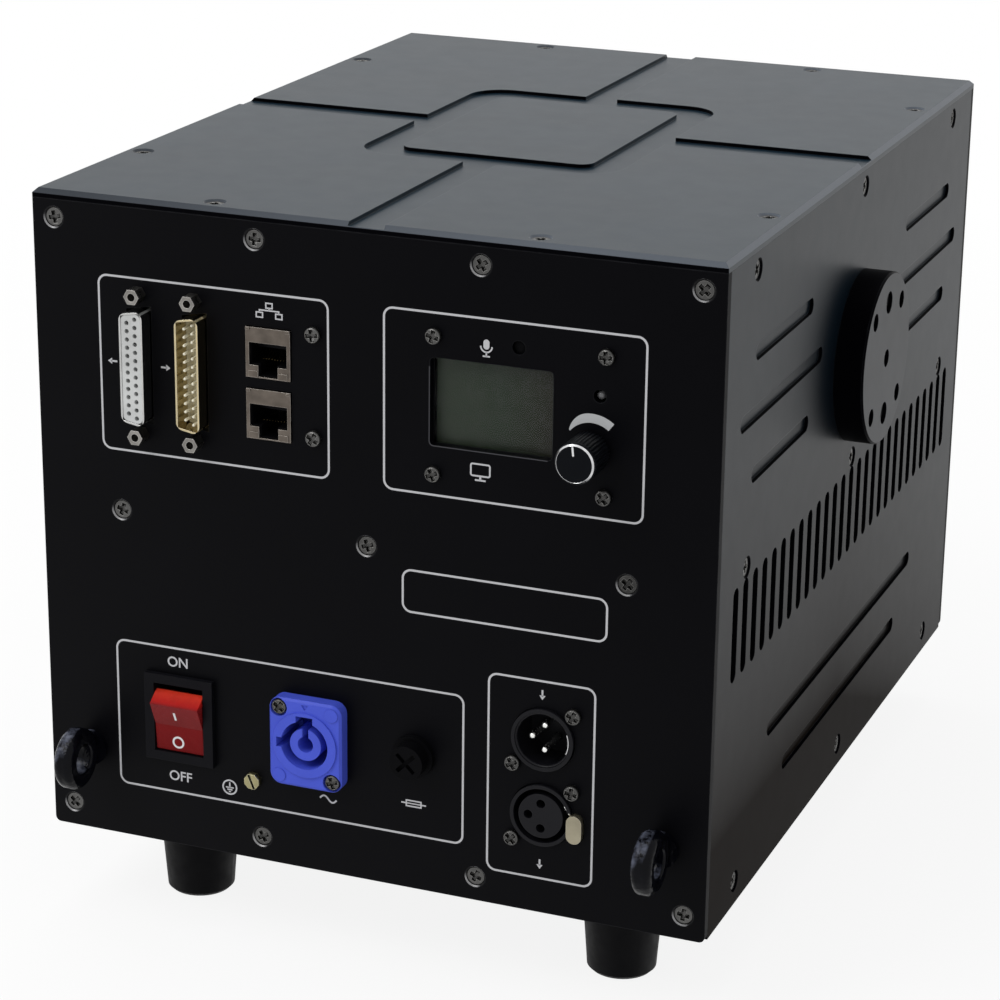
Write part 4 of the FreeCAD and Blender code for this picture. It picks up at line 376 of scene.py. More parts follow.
M = {
    "panel": coated("panel_coat", (0.0015, 0.0015, 0.0023), 0.5, 0.04, wear=0.3, flat=(0, 1, 1)),
    # the bluish tint of the case, side and boss colours is a painted reflection of a bluish room
    "case": coated("cover_coat", (0.0026, 0.0112, 0.0195), 0.36, 0.1, wear=0.35, specular=0.25, flat=(1, 0, 1),
                   chamfer_highlight=(0.098, 0.110, 0.128)),
    # the side's low colour is painted shade towards the floor
    "side": coated("side_coat", (0.0026, 0.0066, 0.0112), 0.36, 0.1, wear=0.5, specular=0.13, flat=(1, 0, 0),
                   low=(0.0080, 0.0060, 0.0049)),
    "boss": coated("boss_coat", (0.0026, 0.0050, 0.0090), 0.34, 0.1, grain_mm=0.8, wear=0.4, specular=0.11,
                   flat=(1, 0, 0)),
    # the eye's glint colour is a painted highlight
    "eye": enamel("eye_enamel", (0.0016, 0.0017, 0.0032), glint=(0.10, 0.11, 0.15), rough=0.14, lump_mm=4.0,
                  depth_mm=0.5, specular=0.09),
    # in the metal parts below, a rim colour is a painted highlight along edges, and hollow shade is painted shade in
    # recesses
    "screw": metal("screw_plate", (0.085, 0.084, 0.082), 0.34, rim=(0.36, 0.355, 0.34), vary=0.55, cloud_mm=45,
                   hollow_shade=1.3),
    # the countersink seats and the knob's ring carry painted light: bright on the side that faces the light, dark
    # elsewhere
    "seat": lit_metal("seat_rim", (0.25, 0.25, 0.255), shadow=(0.004, 0.004, 0.005), way=(0.6, 0.0, 0.8),
                      start=0.25, end=0.6, rough=0.45, metallic=0.6),
    "ring": lit_metal("ring_trim", (0.66, 0.66, 0.67), shadow=(0.05, 0.05, 0.055), way=(0.5, 0.0, 0.87),
                      start=-0.45, end=0.15, rough=0.18, metallic=1.0),
    "cap_screw": metal("black_oxide", (0.030, 0.030, 0.033), 0.42, rim=(0.12, 0.12, 0.125)),
    "nickel": metal("nickel", (0.24, 0.23, 0.215), 0.3, vary=0.35, marks=0.2, rim=(0.62, 0.60, 0.57), hollow_shade=1.5),
    "shield": metal("jack_shield", (0.125, 0.106, 0.090), 0.36, (1.0, 1.0, 0.06), vary=0.3, marks=0.25,
                    rim=(0.36, 0.33, 0.30)),
    "shell": metal("bright_shell", (0.50, 0.50, 0.49), 0.16, marks=0.06, rim=(0.75, 0.75, 0.74)),
    "zinc": metal("yellow_zinc", (0.56, 0.47, 0.28), 0.13, marks=0.06, rim=(0.70, 0.64, 0.48)),
    "bright": metal("polished_trim", (0.66, 0.66, 0.67), 0.18, vary=0.06, marks=0.04),
    "gold": plastic("gold_contact", (0.88, 0.85, 0.70), 0.32, vary=0.06),
    # the jack's gold contact wires, painted dark: painted shade inside the port
    "wire": metal("shaded_contact_wire", (0.16, 0.12, 0.055), 0.3, vary=0.1),
    "silver": metal("silver_pin", (0.88, 0.88, 0.86), 0.25, vary=0.05),
    "brass": metal("brass", (0.33, 0.30, 0.165), 0.32, marks=0.15, rim=(0.72, 0.69, 0.50), hollow_shade=1.2),
    "mill": metal("milled_aluminium", (0.60, 0.61, 0.63), 0.4, (0.05, 1.0, 1.0), marks=0.22),
    "galvanised": metal("galvanised", (0.52, 0.53, 0.54), 0.45, vary=0.22),
    "white": plastic("white_insulator", (0.56, 0.57, 0.565), 0.42),
    "cream": plastic("cream_insulator", (0.60, 0.55, 0.39), 0.45),
    "black": plastic("black_plastic", (0.0030, 0.0030, 0.0042), 0.40, facing=0.12, specular=0.35),
    "socket": plastic("socket_black", (0.0058, 0.0058, 0.0078), 0.38, facing=0.25, edge=0.3),
    "inside": plastic("black_liner", (0.0020, 0.0020, 0.0026), 0.5, facing=0.1, specular=0.2),
    "bezel": plastic("switch_black", (0.0036, 0.0036, 0.0052), 0.45, 0.5, 0.3, facing=0.12, specular=0.35),
    "knob": plastic("knob_black", (0.0040, 0.0046, 0.0062), 0.32, 0.8, 0.1, facing=0.06, specular=0.4),
    "blue": plastic("inlet_blue", (0.062, 0.096, 0.62), 0.42, 0.9, 0.1, facing=0.35, edge=0.35, vary=0.06),
    "latch": metal("latch_plate", (0.33, 0.30, 0.22), 0.45, marks=0.12, vary=0.1, rim=(0.50, 0.47, 0.38)),
    "print": plastic("screen_print", (0.50, 0.50, 0.52), 0.55, 0.35, 0.2, edge=0.02, vary=0.05),
    "mark": plastic("white_mark", (0.46, 0.47, 0.48), 0.45, 0.4, 0.1, edge=0.02, vary=0.04),
    # a painted highlight along the window's edge
    "lip": plastic("window_edge_highlight", (0.020, 0.021, 0.027), 0.4, edge=0.02),
    "sign": plastic("white_sign", (0.72, 0.72, 0.73), 0.45, 0.4, 0.1, edge=0.02, vary=0.04),
    "rubber": plastic("foot_rubber", (0.0022, 0.0022, 0.0028), 0.6, 1.1, 0.35, facing=0.12, edge=0.5,
                      specular=0.35),
    "board": plastic("solder_mask", (0.012, 0.075, 0.03), 0.32, 1.4, 0.15),
    "foam": plastic("felt_disc", (0.003, 0.003, 0.0035), 0.95, 0.3, 0.8, facing=0.1),
    "rocker": rocker_red(),
    "pane": clear("display_pane", (0.02, 0.022, 0.02), alpha=0.12),
    "exit_pane": clear("exit_pane", (0.10, 0.11, 0.16), alpha=0.2),
    "fuse_glass": clear("fuse_glass", (0.7, 0.72, 0.72), alpha=0.35),
    "screen": screen_face(),
    "lamp": plastic("lamp_lens", (0.10, 0.10, 0.105), 0.15, 2.0, 0.05, vary=0.2),
    "mirror": metal("mirror_coat", (0.85, 0.88, 0.90), 0.04, vary=0.03, marks=0.01),
}

DRESS = {
    "panel": "rear_panel front_panel base_plate window_frame",
    "case": "top_cover",
    "side": "left_side_panel right_side_panel",
    "boss": "hub_left hub_right",
    "eye": "safety_eye_left safety_eye_right",
    "screw": "case_screws panel_screws",
    "cap_screw": "socket_screws heat_sink",
    "mill": "side_rails cross_rails optics_plate laser_modules scanner_block",
    "shell": "dsub_out_shell",
    "nickel": "dsub_jackscrews encoder_shaft",
    "shield": "network_jacks",
    "zinc": "dsub_in_shell",
    "white": "dsub_out_insulator",
    "cream": "dsub_in_insulator",
    "gold": "dsub_in_pins",
    "black": "network_jack_inserts encoder_body encoder_plunger "
             "fan_frames fan_rotor_rear fan_rotor_front lcd_module scan_motors",
    "socket": "xlr_in_shell xlr_out_shell",
    "inside": "fuse_holder fuse_cap",
    "bezel": "switch_housing",
    "knob": "menu_knob",
    "rocker": "switch_rocker",
    "blue": "power_inlet",
    "latch": "xlr_out_latch",
    "brass": "earth_screw board_standoffs",
    "silver": "xlr_in_pins",
    "rubber": "rubber_feet",
    "board": "network_board display_board control_board",
    "pane": "display_lens",
    "exit_pane": "window_glass",
    "fuse_glass": "fuse_cartridge",
    "lamp": "status_led",
    "mirror": "combiner_mirrors scan_mirror_x scan_mirror_y",
    "galvanised": "power_supply",
}
for key, names in DRESS.items():
    for name in names.split():
        mesh = nodes[name].data
        mesh.materials.clear()
        mesh.materials.append(M[key])


# ---------------------------------------------------------------- mesh helpers

# corners of one solid closer than this are one corner, in metres: in pieces made here and in CAD meshes
WELD = 1e-7
CAD_WELD = 1e-6


def islands(work):
    """The separate solids in a mesh, each as its list of corners."""
    seen, found = set(), []
    for first in work.verts:
        if first in seen:
            continue
        seen.add(first)
        group = [first]
        for vert in group:
            for edge in vert.link_edges:
                other = edge.other_vert(vert)
                if other not in seen:
                    seen.add(other)
                    group.append(other)
        found.append(group)
    return found


def face_outwards(work):
    """Turn the faces of each solid so that they look out of it."""
    bmesh.ops.recalc_face_normals(work, faces=work.faces)
    for group in islands(work):
        start = group[0].co.copy()
        faces = list(dict.fromkeys(face for vert in group for face in vert.link_faces))
        volume = 0.0
        for face in faces:
            first, *rest = [vert.co - start for vert in face.verts]
            volume += sum(first.dot(a.cross(b)) for a, b in zip(rest, rest[1:]))
        if volume < 0:
            bmesh.ops.reverse_faces(work, faces=faces)


def show(name, mesh, key, body):
    """Dress a mesh and put it in the scene on its body."""
    mesh.materials.clear()
    mesh.materials.append(M[key])
    made = bpy.data.objects.new(name, mesh)
    bpy.context.scene.collection.objects.link(made)
    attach(made, body)
    return made


def around(side, up, angle, radius):
    """The way out from an axis, at an angle, to a radius in mm."""
    return (side * math.cos(angle) + up * math.sin(angle)) * radius * MM


def skin(rows, steps):
    """Faces between rows of corners that each go once round."""
    return [(r * steps + k, r * steps + (k + 1) % steps, (r + 1) * steps + (k + 1) % steps, (r + 1) * steps + k)
            for r in range(rows - 1) for k in range(steps)]


def ends(rows, steps):
    """Faces that close the first and the last row."""
    return [tuple(range(steps - 1, -1, -1)), tuple((rows - 1) * steps + k for k in range(steps))]


class Build:
    """Collects closed solids into one mesh."""

    def __init__(self):
        self.verts, self.faces = [], []

    def add(self, verts, faces):
        start = len(self.verts)
        self.verts += [Vector(v) for v in verts]
        self.faces += [tuple(start + k for k in face) for face in faces]
        return self

    def slab(self, outline, place, thick):
        """A flat closed outline of (x, z), pushed out by its thickness."""
        count = len(outline)
        back = [place(x, z, 0.0) for x, z in outline]
        face = [place(x, z, thick) for x, z in outline]
        sides = [(k, (k + 1) % count, count + (k + 1) % count, count + k) for k in range(count)]
        return self.add(back + face, [tuple(range(count)), tuple(range(2 * count - 1, count - 1, -1))] + sides)

    def ring(self, path, width, place, thick):
        """A line of even width along a closed path of (x, z)."""
        return self.band(offset(path, -width / 2), offset(path, width / 2), place, thick, closed=True)

    def line(self, path, width, place, thick):
        """A line of even width along an open path of (x, z)."""
        return self.band(offset(path, -width / 2, False), offset(path, width / 2, False), place, thick)

    def band(self, a, b, place, thick, closed=False):
        """The strip between two paths of as many points, pushed out by its thickness."""
        count = len(a)
        up = 2 * count
        verts = [place(x, z, level) for level in (0.0, thick) for path in (a, b) for x, z in path]
        faces = []
        for k in range(count if closed else count - 1):
            n = (k + 1) % count
            a0, a1, b0, b1 = k, n, count + k, count + n
            faces += [(a0, b0, b1, a1), (a0 + up, a1 + up, b1 + up, b0 + up),
                      (a0, a1, a1 + up, a0 + up), (b0, b0 + up, b1 + up, b1)]
        if not closed:
            end = count - 1
            faces += [(0, up, count + up, count), (end, count + end, count + end + up, end + up)]
        return self.add(verts, faces)

    def lathe(self, profile, origin, axis, steps):
        """A profile of (radius, along) turned about an axis through origin; it may end where it starts."""
        axis = Vector(axis).normalized()
        side = axis.orthogonal().normalized()
        up = axis.cross(side)
        verts = [origin + axis * along * MM + around(side, up, 2 * math.pi * k / steps, radius)
                 for radius, along in profile for k in range(steps)]
        faces = skin(len(profile), steps)
        if profile[0] != profile[-1]:
            faces += ends(len(profile), steps)
        return self.add(verts, faces)

    def tube(self, path, radius, steps):
        """A round wire along points in metres."""
        verts, side = [], None
        for k, point in enumerate(path):
            ahead = (path[min(k + 1, len(path) - 1)] - path[max(k - 1, 0)]).normalized()
            side = (ahead.orthogonal() if side is None else side - ahead * side.dot(ahead)).normalized()
            up = ahead.cross(side)
            verts += [point + around(side, up, 2 * math.pi * j / steps, radius) for j in range(steps)]
        return self.add(verts, skin(len(path), steps) + ends(len(path), steps))

    def make(self, name, key, slot, body="case", smooth=False):
        """What was collected, as one piece of the scene."""
        mesh = bpy.data.meshes.new(name)
        mesh.from_pydata([tuple(v) for v in self.verts], [], self.faces)
        work = bmesh.new()
        work.from_mesh(mesh)
        bmesh.ops.remove_doubles(work, verts=work.verts, dist=WELD)
        face_outwards(work)
        work.to_mesh(mesh)
        work.free()
        if smooth:
            mesh.shade_smooth()
        return show(name, mesh, key, body)


def offset(path, by, closed=True):
    """A path moved sideways with mitred corners."""
    points = [Vector(p) for p in path]
    count = len(points)
    shortest, sharpest = 1e-9, 0.4
    moved = []
    for k, point in enumerate(points):
        steps = []
        if closed or k:
            steps.append(point - points[k - 1])
        if closed or k < count - 1:
            steps.append(points[(k + 1) % count] - point)
        ways = [step.normalized() for step in steps if step.length > shortest]
        normals = [Vector((-way.y, way.x)) for way in ways]
        joint = sum(normals, Vector((0, 0))).normalized()
        stretch = 1 / max(sharpest, joint.dot(normals[0]))
        moved.append(tuple(point + joint * by * stretch))
    return moved


def arc(cx, cz, radius, start, end, steps):
    turns = [math.radians(start + (end - start) * k / steps) for k in range(steps + 1)]
    return [(cx + radius * math.cos(turn), cz + radius * math.sin(turn)) for turn in turns]


def circle(cx, cz, radius, steps=32):
    return arc(cx, cz, radius, 0, 360 - 360 / steps, steps - 1)


def corners(x0, x1, z0, z1):
    return [(x0, z0), (x1, z0), (x1, z1), (x0, z1)]


def rounded(x0, x1, z0, z1, r, steps=8):
    return (arc(x1 - r, z0 + r, r, -90, 0, steps) + arc(x1 - r, z1 - r, r, 0, 90, steps)
            + arc(x0 + r, z1 - r, r, 90, 180, steps) + arc(x0 + r, z0 + r, r, 180, 270, steps))


def round_nose(radius, length, step):
    """The profile of a pin with a round nose, drawn with a point every few degrees."""
    turns = [math.radians(turn) for turn in range(step, 91, step)]
    nose = [(radius * math.sin(turn), radius * (1 - math.cos(turn))) for turn in turns]
    return [(TIP, 0.0)] + nose + [(radius, length), (TIP, length)]


# ---------------------------------------------------------------- print on the connector panel

# left, right, low and high of each printed frame
FRAMES = (
    (-94.2, -13.0, 138.4, 196.9),  # 25-pin sockets and network jacks
    (6.2, 92.8, 138.0, 197.4),  # display
    (-91.5, 34.0, 19.2, 71.3),  # mains
    (42.7, 78.8, 12.2, 80.9),  # data sockets
    (12.7, 82.0, 97.4, 111.6),  # left empty
)
FRAME_CORNER, FRAME_LINE = 3.0, 0.70
LETTER_HEIGHT = 3.4
CAPITAL = 0.69  # a capital's height as a share of the font's size
LETTER_GAIN = 0.06  # how far the letters' outlines are moved out
KNOB_X, KNOB_Z = 75.5, 159.5


def printed_frames():
    frames = Build()
    for edges in FRAMES:
        frames.ring(rounded(*edges, FRAME_CORNER), FRAME_LINE, at, INK)
    frames.make("print_frames", "print", slot="white_plastic")


def lettering(word, x, z, name):
    """Plain capitals centred on x, z."""
    curve = bpy.data.curves.new(name, "FONT")
    curve.body = word
    curve.align_x = "CENTER"
    curve.align_y = "CENTER"
    curve.size = LETTER_HEIGHT / CAPITAL * MM
    curve.extrude = INK / 2 * MM
    curve.offset = LETTER_GAIN * MM
    text = bpy.data.objects.new(name, curve)
    bpy.context.scene.collection.objects.link(text)
    bpy.context.view_layer.update()
    mesh = bpy.data.meshes.new_from_object(text)
    bpy.data.objects.remove(text)
    mesh.transform(Matrix.Translation(at(x, z, INK / 2)) @ Matrix.Rotation(math.radians(90), 4, "X"))
    mesh.name = name
    show(name, mesh, "print", body="case")


def arrow(build, x, z, way):
    """A plain arrow round x, z: way is (dx, dz)."""
    length, shaft_end, barb, half, width = 3.4, 1.2, 1.5, 1.05, 0.62
    way = Vector(way).normalized()
    side = Vector((-way.y, way.x))
    tip = Vector((x, z)) + way * length / 2
    tail = Vector((x, z)) - way * length / 2
    build.line([tuple(tail), tuple(tip - way * shaft_end)], width, at, INK)
    head = [tip, tip - way * barb + side * half, tip - way * barb - side * half]
    build.slab([tuple(p) for p in head], at, INK)


def signs():
    """Plain pictograms beside the fittings, each drawn round its own middle."""
    ink = Build()

    def moved(middle, points):
        return [(middle[0] + x, middle[1] + z) for x, z in points]

    def stroke(middle, width, *points):
        ink.line(moved(middle, points), width, at, INK)

    def loop(middle, width, points):
        ink.ring(moved(middle, points), width, at, INK)

    # capsule, yoke and stem
    microphone = (40.6, 188.2)
    ink.slab(moved(microphone, rounded(-1.0, 1.0, -0.6, 2.6, 0.98, 6)), at, INK)
    stroke(microphone, 0.5, *arc(0, 0.4, 1.9, 180, 360, 12))
    stroke(microphone, 0.5, (0, -1.5), (0, -2.8))
    stroke(microphone, 0.5, (-1.2, -2.8), (1.2, -2.8))

    # outline and stand
    screen = (39.0, 147.6)
    loop(screen, 0.55, rounded(-3.2, 3.2, -1.3, 2.6, 0.6, 4))
    stroke(screen, 0.7, (0, -1.6), (0, -2.5))
    stroke(screen, 0.55, (-1.8, -2.7), (1.8, -2.7))

    # three linked boxes
    network = (-33.4, 191.6)
    for x, z in ((0, 1.5), (-3.4, -1.7), (3.4, -1.7)):
        loop(network, 0.45, corners(x - 1.1, x + 1.1, z - 0.8, z + 0.8))
    stroke(network, 0.45, (0, 0.6), (0, 0))
    stroke(network, 0.45, (-3.4, -0.8), (-3.4, -0.1), (3.4, -0.1), (3.4, -0.8))

    # ways in and out of the 25-pin sockets and the data sockets
    arrow(ink, -89.9, 168.3, (-1, 0))
    arrow(ink, -70.6, 168.3, (1, 0))
    arrow(ink, 61.0, 76.2, (0, -1))
    arrow(ink, 61.0, 17.2, (0, -1))

    # one wave for alternating current
    current, steps = (-14.0, 26.6), 24
    turns = [k / steps for k in range(steps + 1)]
    stroke(current, 0.6, *((-3 + 6 * turn, 1.1 * math.sin(2 * math.pi * turn)) for turn in turns))

    # box and wire
    fuse = (16.7, 30.4)
    loop(fuse, 0.5, corners(-2.6, 2.6, -1.0, 1.0))
    stroke(fuse, 0.5, (-4.4, 0), (-2.85, 0))
    stroke(fuse, 0.5, (2.85, 0), (4.4, 0))
    stroke(fuse, 0.4, (-2.35, 0), (2.35, 0))

    # stem and three bars in a circle
    earth = (-50.3, 24.4)
    loop(earth, 0.55, circle(0, 0, 2.5))
    stroke(earth, 0.5, (0, 1.8), (0, -0.1))
    for half, drop in ((1.45, 0.1), (0.95, 0.85), (0.4, 1.6)):
        stroke(earth, 0.45, (-half, -drop), (half, -drop))
    ink.make("print_signs", "print", slot="white_plastic")


def level_mark():
    """The arc over the knob, which swells over its first half."""
    steps, start, sweep = 36, 141, 89
    inner, thin, swell = 8.95, 0.5, 2.45
    low, high = [], []
    for k in range(steps + 1):
        share = k / steps
        turn = math.radians(start - sweep * share)
        outer = inner + thin + swell * math.sin(min(1.0, share / 0.5) * math.pi / 2)
        for edge, radius in ((low, inner), (high, outer)):
            edge.append((KNOB_X + radius * math.cos(turn), KNOB_Z + radius * math.sin(turn)))
    Build().band(low, high, at, INK).make("print_level", "mark", slot="white_plastic")


printed_frames()
lettering("ON", -68.8, 66.2, "print_on")
lettering("OFF", -68.7, 24.9, "print_off")
signs()
level_mark()


# ---------------------------------------------------------------- fittings

JACK_HEIGHTS = (177.4, 157.0)
# one contact wire of a jack: depth behind the jack's front, height from the jack's middle
JACK_WIRE = ((13.0, 0.1), (11.5, -0.1), (9.0, -0.9), (6.2, -2.4), (4.6, -3.1), (4.0, -2.9))


def knob_trim():
    """Polished ring on the knob's edge and its white pointer."""
    low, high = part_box("menu_knob")
    centre = front_middle("menu_knob")
    rim = (high.x - low.x) / 2 / MM
    profile = [(rim - 0.92, 0.0), (rim - 0.84, -0.05), (rim - 0.34, 0.45), (rim - 0.34, 0.9), (rim - 0.6, 0.9),
               (rim - 0.92, 0.3), (rim - 0.92, 0.0)]
    Build().lathe(profile, centre, INWARDS, 72).make("knob_ring", "ring", slot="nickel", body="knob")
    turn = math.radians(6)

    def on_face(x, z, out):
        return centre + Vector(((x * math.cos(turn) - z * math.sin(turn)) * MM, -out * MM,
                                (x * math.sin(turn) + z * math.cos(turn)) * MM))
    pointer = rounded(-0.32, 0.32, 2.6, rim - 1.05, 0.28, 4)
    Build().slab(pointer, on_face, 0.08).make("knob_pointer", "sign", slot="white_plastic", body="knob")


def rocker_marks():
    """The bar and the circle on the rocker, in the rocker's own tilt."""
    joint = next(j for j in frame["joints"] if j["name"] == "switch_tip")
    pivot = Vector(joint["pos_m"])
    tilt = Matrix.Rotation(math.radians(14), 3, "X")
    crest, reach, dip, thick = 9.2, 11.7, 1.6, 0.06

    def face(x, z, out):
        depth = reach - dip * (1 - abs(z) / crest) + out
        return pivot + tilt @ Vector((x * MM, -depth * MM, z * MM))
    marks = Build().slab(corners(-0.9, -0.1, 2.9, 6.3), face, thick)
    marks.ring(circle(-0.6, -5.9, 1.85), 0.7, face, thick)
    marks.make("rocker_marks", "sign", slot="white_plastic", body="rocker")


def lamp_dome():
    """Round-nosed lamp in its hole."""
    low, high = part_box("status_led")
    profile = round_nose((high.x - low.x) / 2 / MM, (high.y - low.y) / MM, 10)
    dome = Build().lathe(profile, front_middle("status_led"), INWARDS, 32)
    made = dome.make("lamp_dome", "lamp", slot="lamp_red", smooth=True)
    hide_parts("status_led")


def display_face():
    """The display's own pane in its frame, and a painted highlight along the left and the foot of its window's edge.
    """
    low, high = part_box("display_lens")
    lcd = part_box("lcd_module")[0].y
    left, right, foot, head = low.x / MM, high.x / MM, low.z / MM, high.z / MM
    inset_left, inset, behind = 2.6, 1.6, 0.7

    def inside(x, z, out):
        return Vector((x * MM, lcd + (behind - out) * MM, z * MM))
    face = rounded(left + inset_left, right - inset, foot + inset, head - inset, 0.8, 4)
    Build().slab(face, inside, 0.6).make("display_face", "screen", slot="lcd_face")

    # the painted highlight runs a little outside the opening, which lies rim inside the lens
    rim, aside, bend = 2.0, 0.2, 1.3
    x0, x1 = left + rim, right - rim
    z0, z1 = (low.z - CASE_LOW) / MM + rim, (high.z - CASE_LOW) / MM - rim
    edge = [(x0 - aside, z1 - 3.0)] + arc(x0 + bend, z0 + bend, bend + aside, 180, 270, 6)
    edge.append((x1 - 1.5, z0 - aside))
    Build().line(edge, 0.32, at, INK).make("display_edge_highlight", "lip", slot="black_plastic")


def jack_contacts():
    """In each network jack: a black liner that follows the port, eight sprung wires and the shield's folded lips."""
    low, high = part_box("network_jacks")
    x = (low.x + high.x) / 2 / MM
    depth, wide, narrow, pitch, count = 13.7, 6.6, 3.4, 1.02, 8
    wires, lips, liners = Build(), Build(), Build()

    def inside(px, pz, out):
        return Vector((px * MM, low.y + (depth - out) * MM, pz * MM))

    def outside(px, pz, out):
        return Vector((px * MM, low.y - out * MM, pz * MM))
    for height in JACK_HEIGHTS:
        z = CASE_LOW / MM + height
        roof = z + 3.3
        shoulder, sill = roof - 7.5, roof - 11.2
        port = [(x - wide, roof), (x - wide, shoulder), (x - narrow, shoulder), (x - narrow, sill),
                (x + narrow, sill), (x + narrow, shoulder), (x + wide, shoulder), (x + wide, roof)]
        liners.band(offset(port, 0.45), offset(port, 0.06), inside, 12.9, closed=True)
        liners.slab(offset(port, 0.3), inside, 0.3)
        for k in range(count):
            wx = x + (k - (count - 1) / 2) * pitch
            wires.tube([Vector((wx * MM, low.y + y * MM, (z + h) * MM)) for y, h in JACK_WIRE], 0.17, 6)
        for side in (-1, 1):
            upper, lower = x + side * 7.0, x + side * 5.2
            lips.slab(rounded(upper - 0.7, upper + 0.7, z + 7.3, z + 8.25, 0.25, 3), outside, 0.35)
            lips.slab(rounded(lower - 1.7, lower + 1.7, z - 8.1, z - 6.0, 0.3, 3), outside, 0.22)
    liners.make("jack_liners", "inside", slot="black_plastic")
    wires.make("jack_wires", "wire", slot="gold_pin", smooth=True)
    lips.make("jack_lips", "shield", slot="nickel")


def pin_noses():
    """Silver pins with round noses in the upper data socket."""
    low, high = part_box("xlr_in_pins")
    socket = front_middle("xlr_in_shell")
    radius, pin_circle = 1.2, 4.3
    profile = round_nose(radius, (high.y - low.y) / MM, 15)
    pins = Build()
    for turn in (180, 90, -90):
        side, rise = pin_circle * math.cos(math.radians(turn)), pin_circle * math.sin(math.radians(turn))
        pins.lathe(profile, Vector((socket.x + side * MM, low.y, socket.z + rise * MM)), INWARDS, 24)
    made = pins.make("data_pins", "silver", slot="silver_pin", smooth=True)
    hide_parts("xlr_in_pins")


def socket_trim():
    """Lip and earth strip in the upper data socket, and the latch spring of the lower one."""
    centre = front_middle("xlr_in_shell")
    lip = [(9.38, 0.25), (9.1, 0.3), (8.75, 0.75), (8.7, 1.3), (9.0, 1.6), (9.38, 1.7), (9.38, 0.25)]
    Build().lathe(lip, centre, INWARDS, 72).make("socket_lip", "socket", slot="black_plastic", smooth=True)

    def behind_rim(x, z, out):
        return centre + Vector((x * MM, (0.75 - out) * MM, z * MM))
    inner, outer = (arc(0, 0, radius, -24, 20, 16) for radius in (8.66, 8.92))
    Build().band(inner, outer, behind_rim, 0.35).make("earth_strip", "bright", slot="nickel")
    spring = [at(69.5, 39.4, 0.8), at(70.2, 38.3, 0.85), at(70.9, 37.2, 0.8), at(71.6, 36.2, 0.5)]
    Build().tube(spring, 0.26, 10).make("latch_spring", "silver", slot="nickel", smooth=True)


def rods(node):
    """Each rod of a node: the middle of its outer end, the way it points, its radius and length in mm."""
    work = bmesh.new()
    work.from_mesh(nodes[node].data)
    bmesh.ops.remove_doubles(work, verts=work.verts, dist=CAD_WELD)
    heart = (cad_box[0] + cad_box[1]) / 2
    found = []
    for group in islands(work):
        low = Vector(min(v.co[k] for v in group) for k in range(3))
        high = Vector(max(v.co[k] for v in group) for k in range(3))
        axis = max(range(3), key=lambda k: high[k] - low[k])
        end = (low + high) / 2
        way = Vector((0, 0, 0))
        way[axis] = 1.0 if end[axis] > heart[axis] else -1.0
        end[axis] = high[axis] if way[axis] > 0 else low[axis]
        found.append((end, way, (high - low)[(axis + 1) % 3] / 2 / MM, (high - low)[axis] / MM))
    work.free()
    return found


def recess(arms, width, reach):
    """A screw's recess seen end on: the angles that draw it, and how far it reaches at an angle."""
    step = 360 / arms
    corner = math.degrees(math.atan2(width / 2, reach))
    marks = [0, corner / 2, corner, (corner + step / 2) / 2, step / 2]
    turns = {round(k * step + sign * mark, 3) % 360 for k in range(arms) for mark in marks for sign in (1, -1)}

    def edge(turn):
        away = abs((turn + step / 2) % step - step / 2)
        if away <= corner + 1e-6:
            return reach / math.cos(math.radians(away))
        return width / 2 / math.sin(math.radians(away))
    return sorted(turns), edge


def screw(build, end, way, outline, turn, dents, rings):
    """A screw from the floor of its recess outwards and then down its shank.

    The dents are (share of the recess's outline, depth), the rings (radius, depth).
    """
    turns, edge = outline
    count = len(turns)
    side = way.orthogonal().normalized()
    up = way.cross(side)
    rows = [([edge(angle) * share for angle in turns], depth) for share, depth in dents]
    rows += [([radius] * count, depth) for radius, depth in rings]
    verts = [end - way * depth * MM + around(side, up, math.radians(angle + turn), radius)
             for radii, depth in rows for angle, radius in zip(turns, radii)]
    build.add(verts, skin(len(rows), count) + [face[::-1] for face in ends(len(rows), count)])


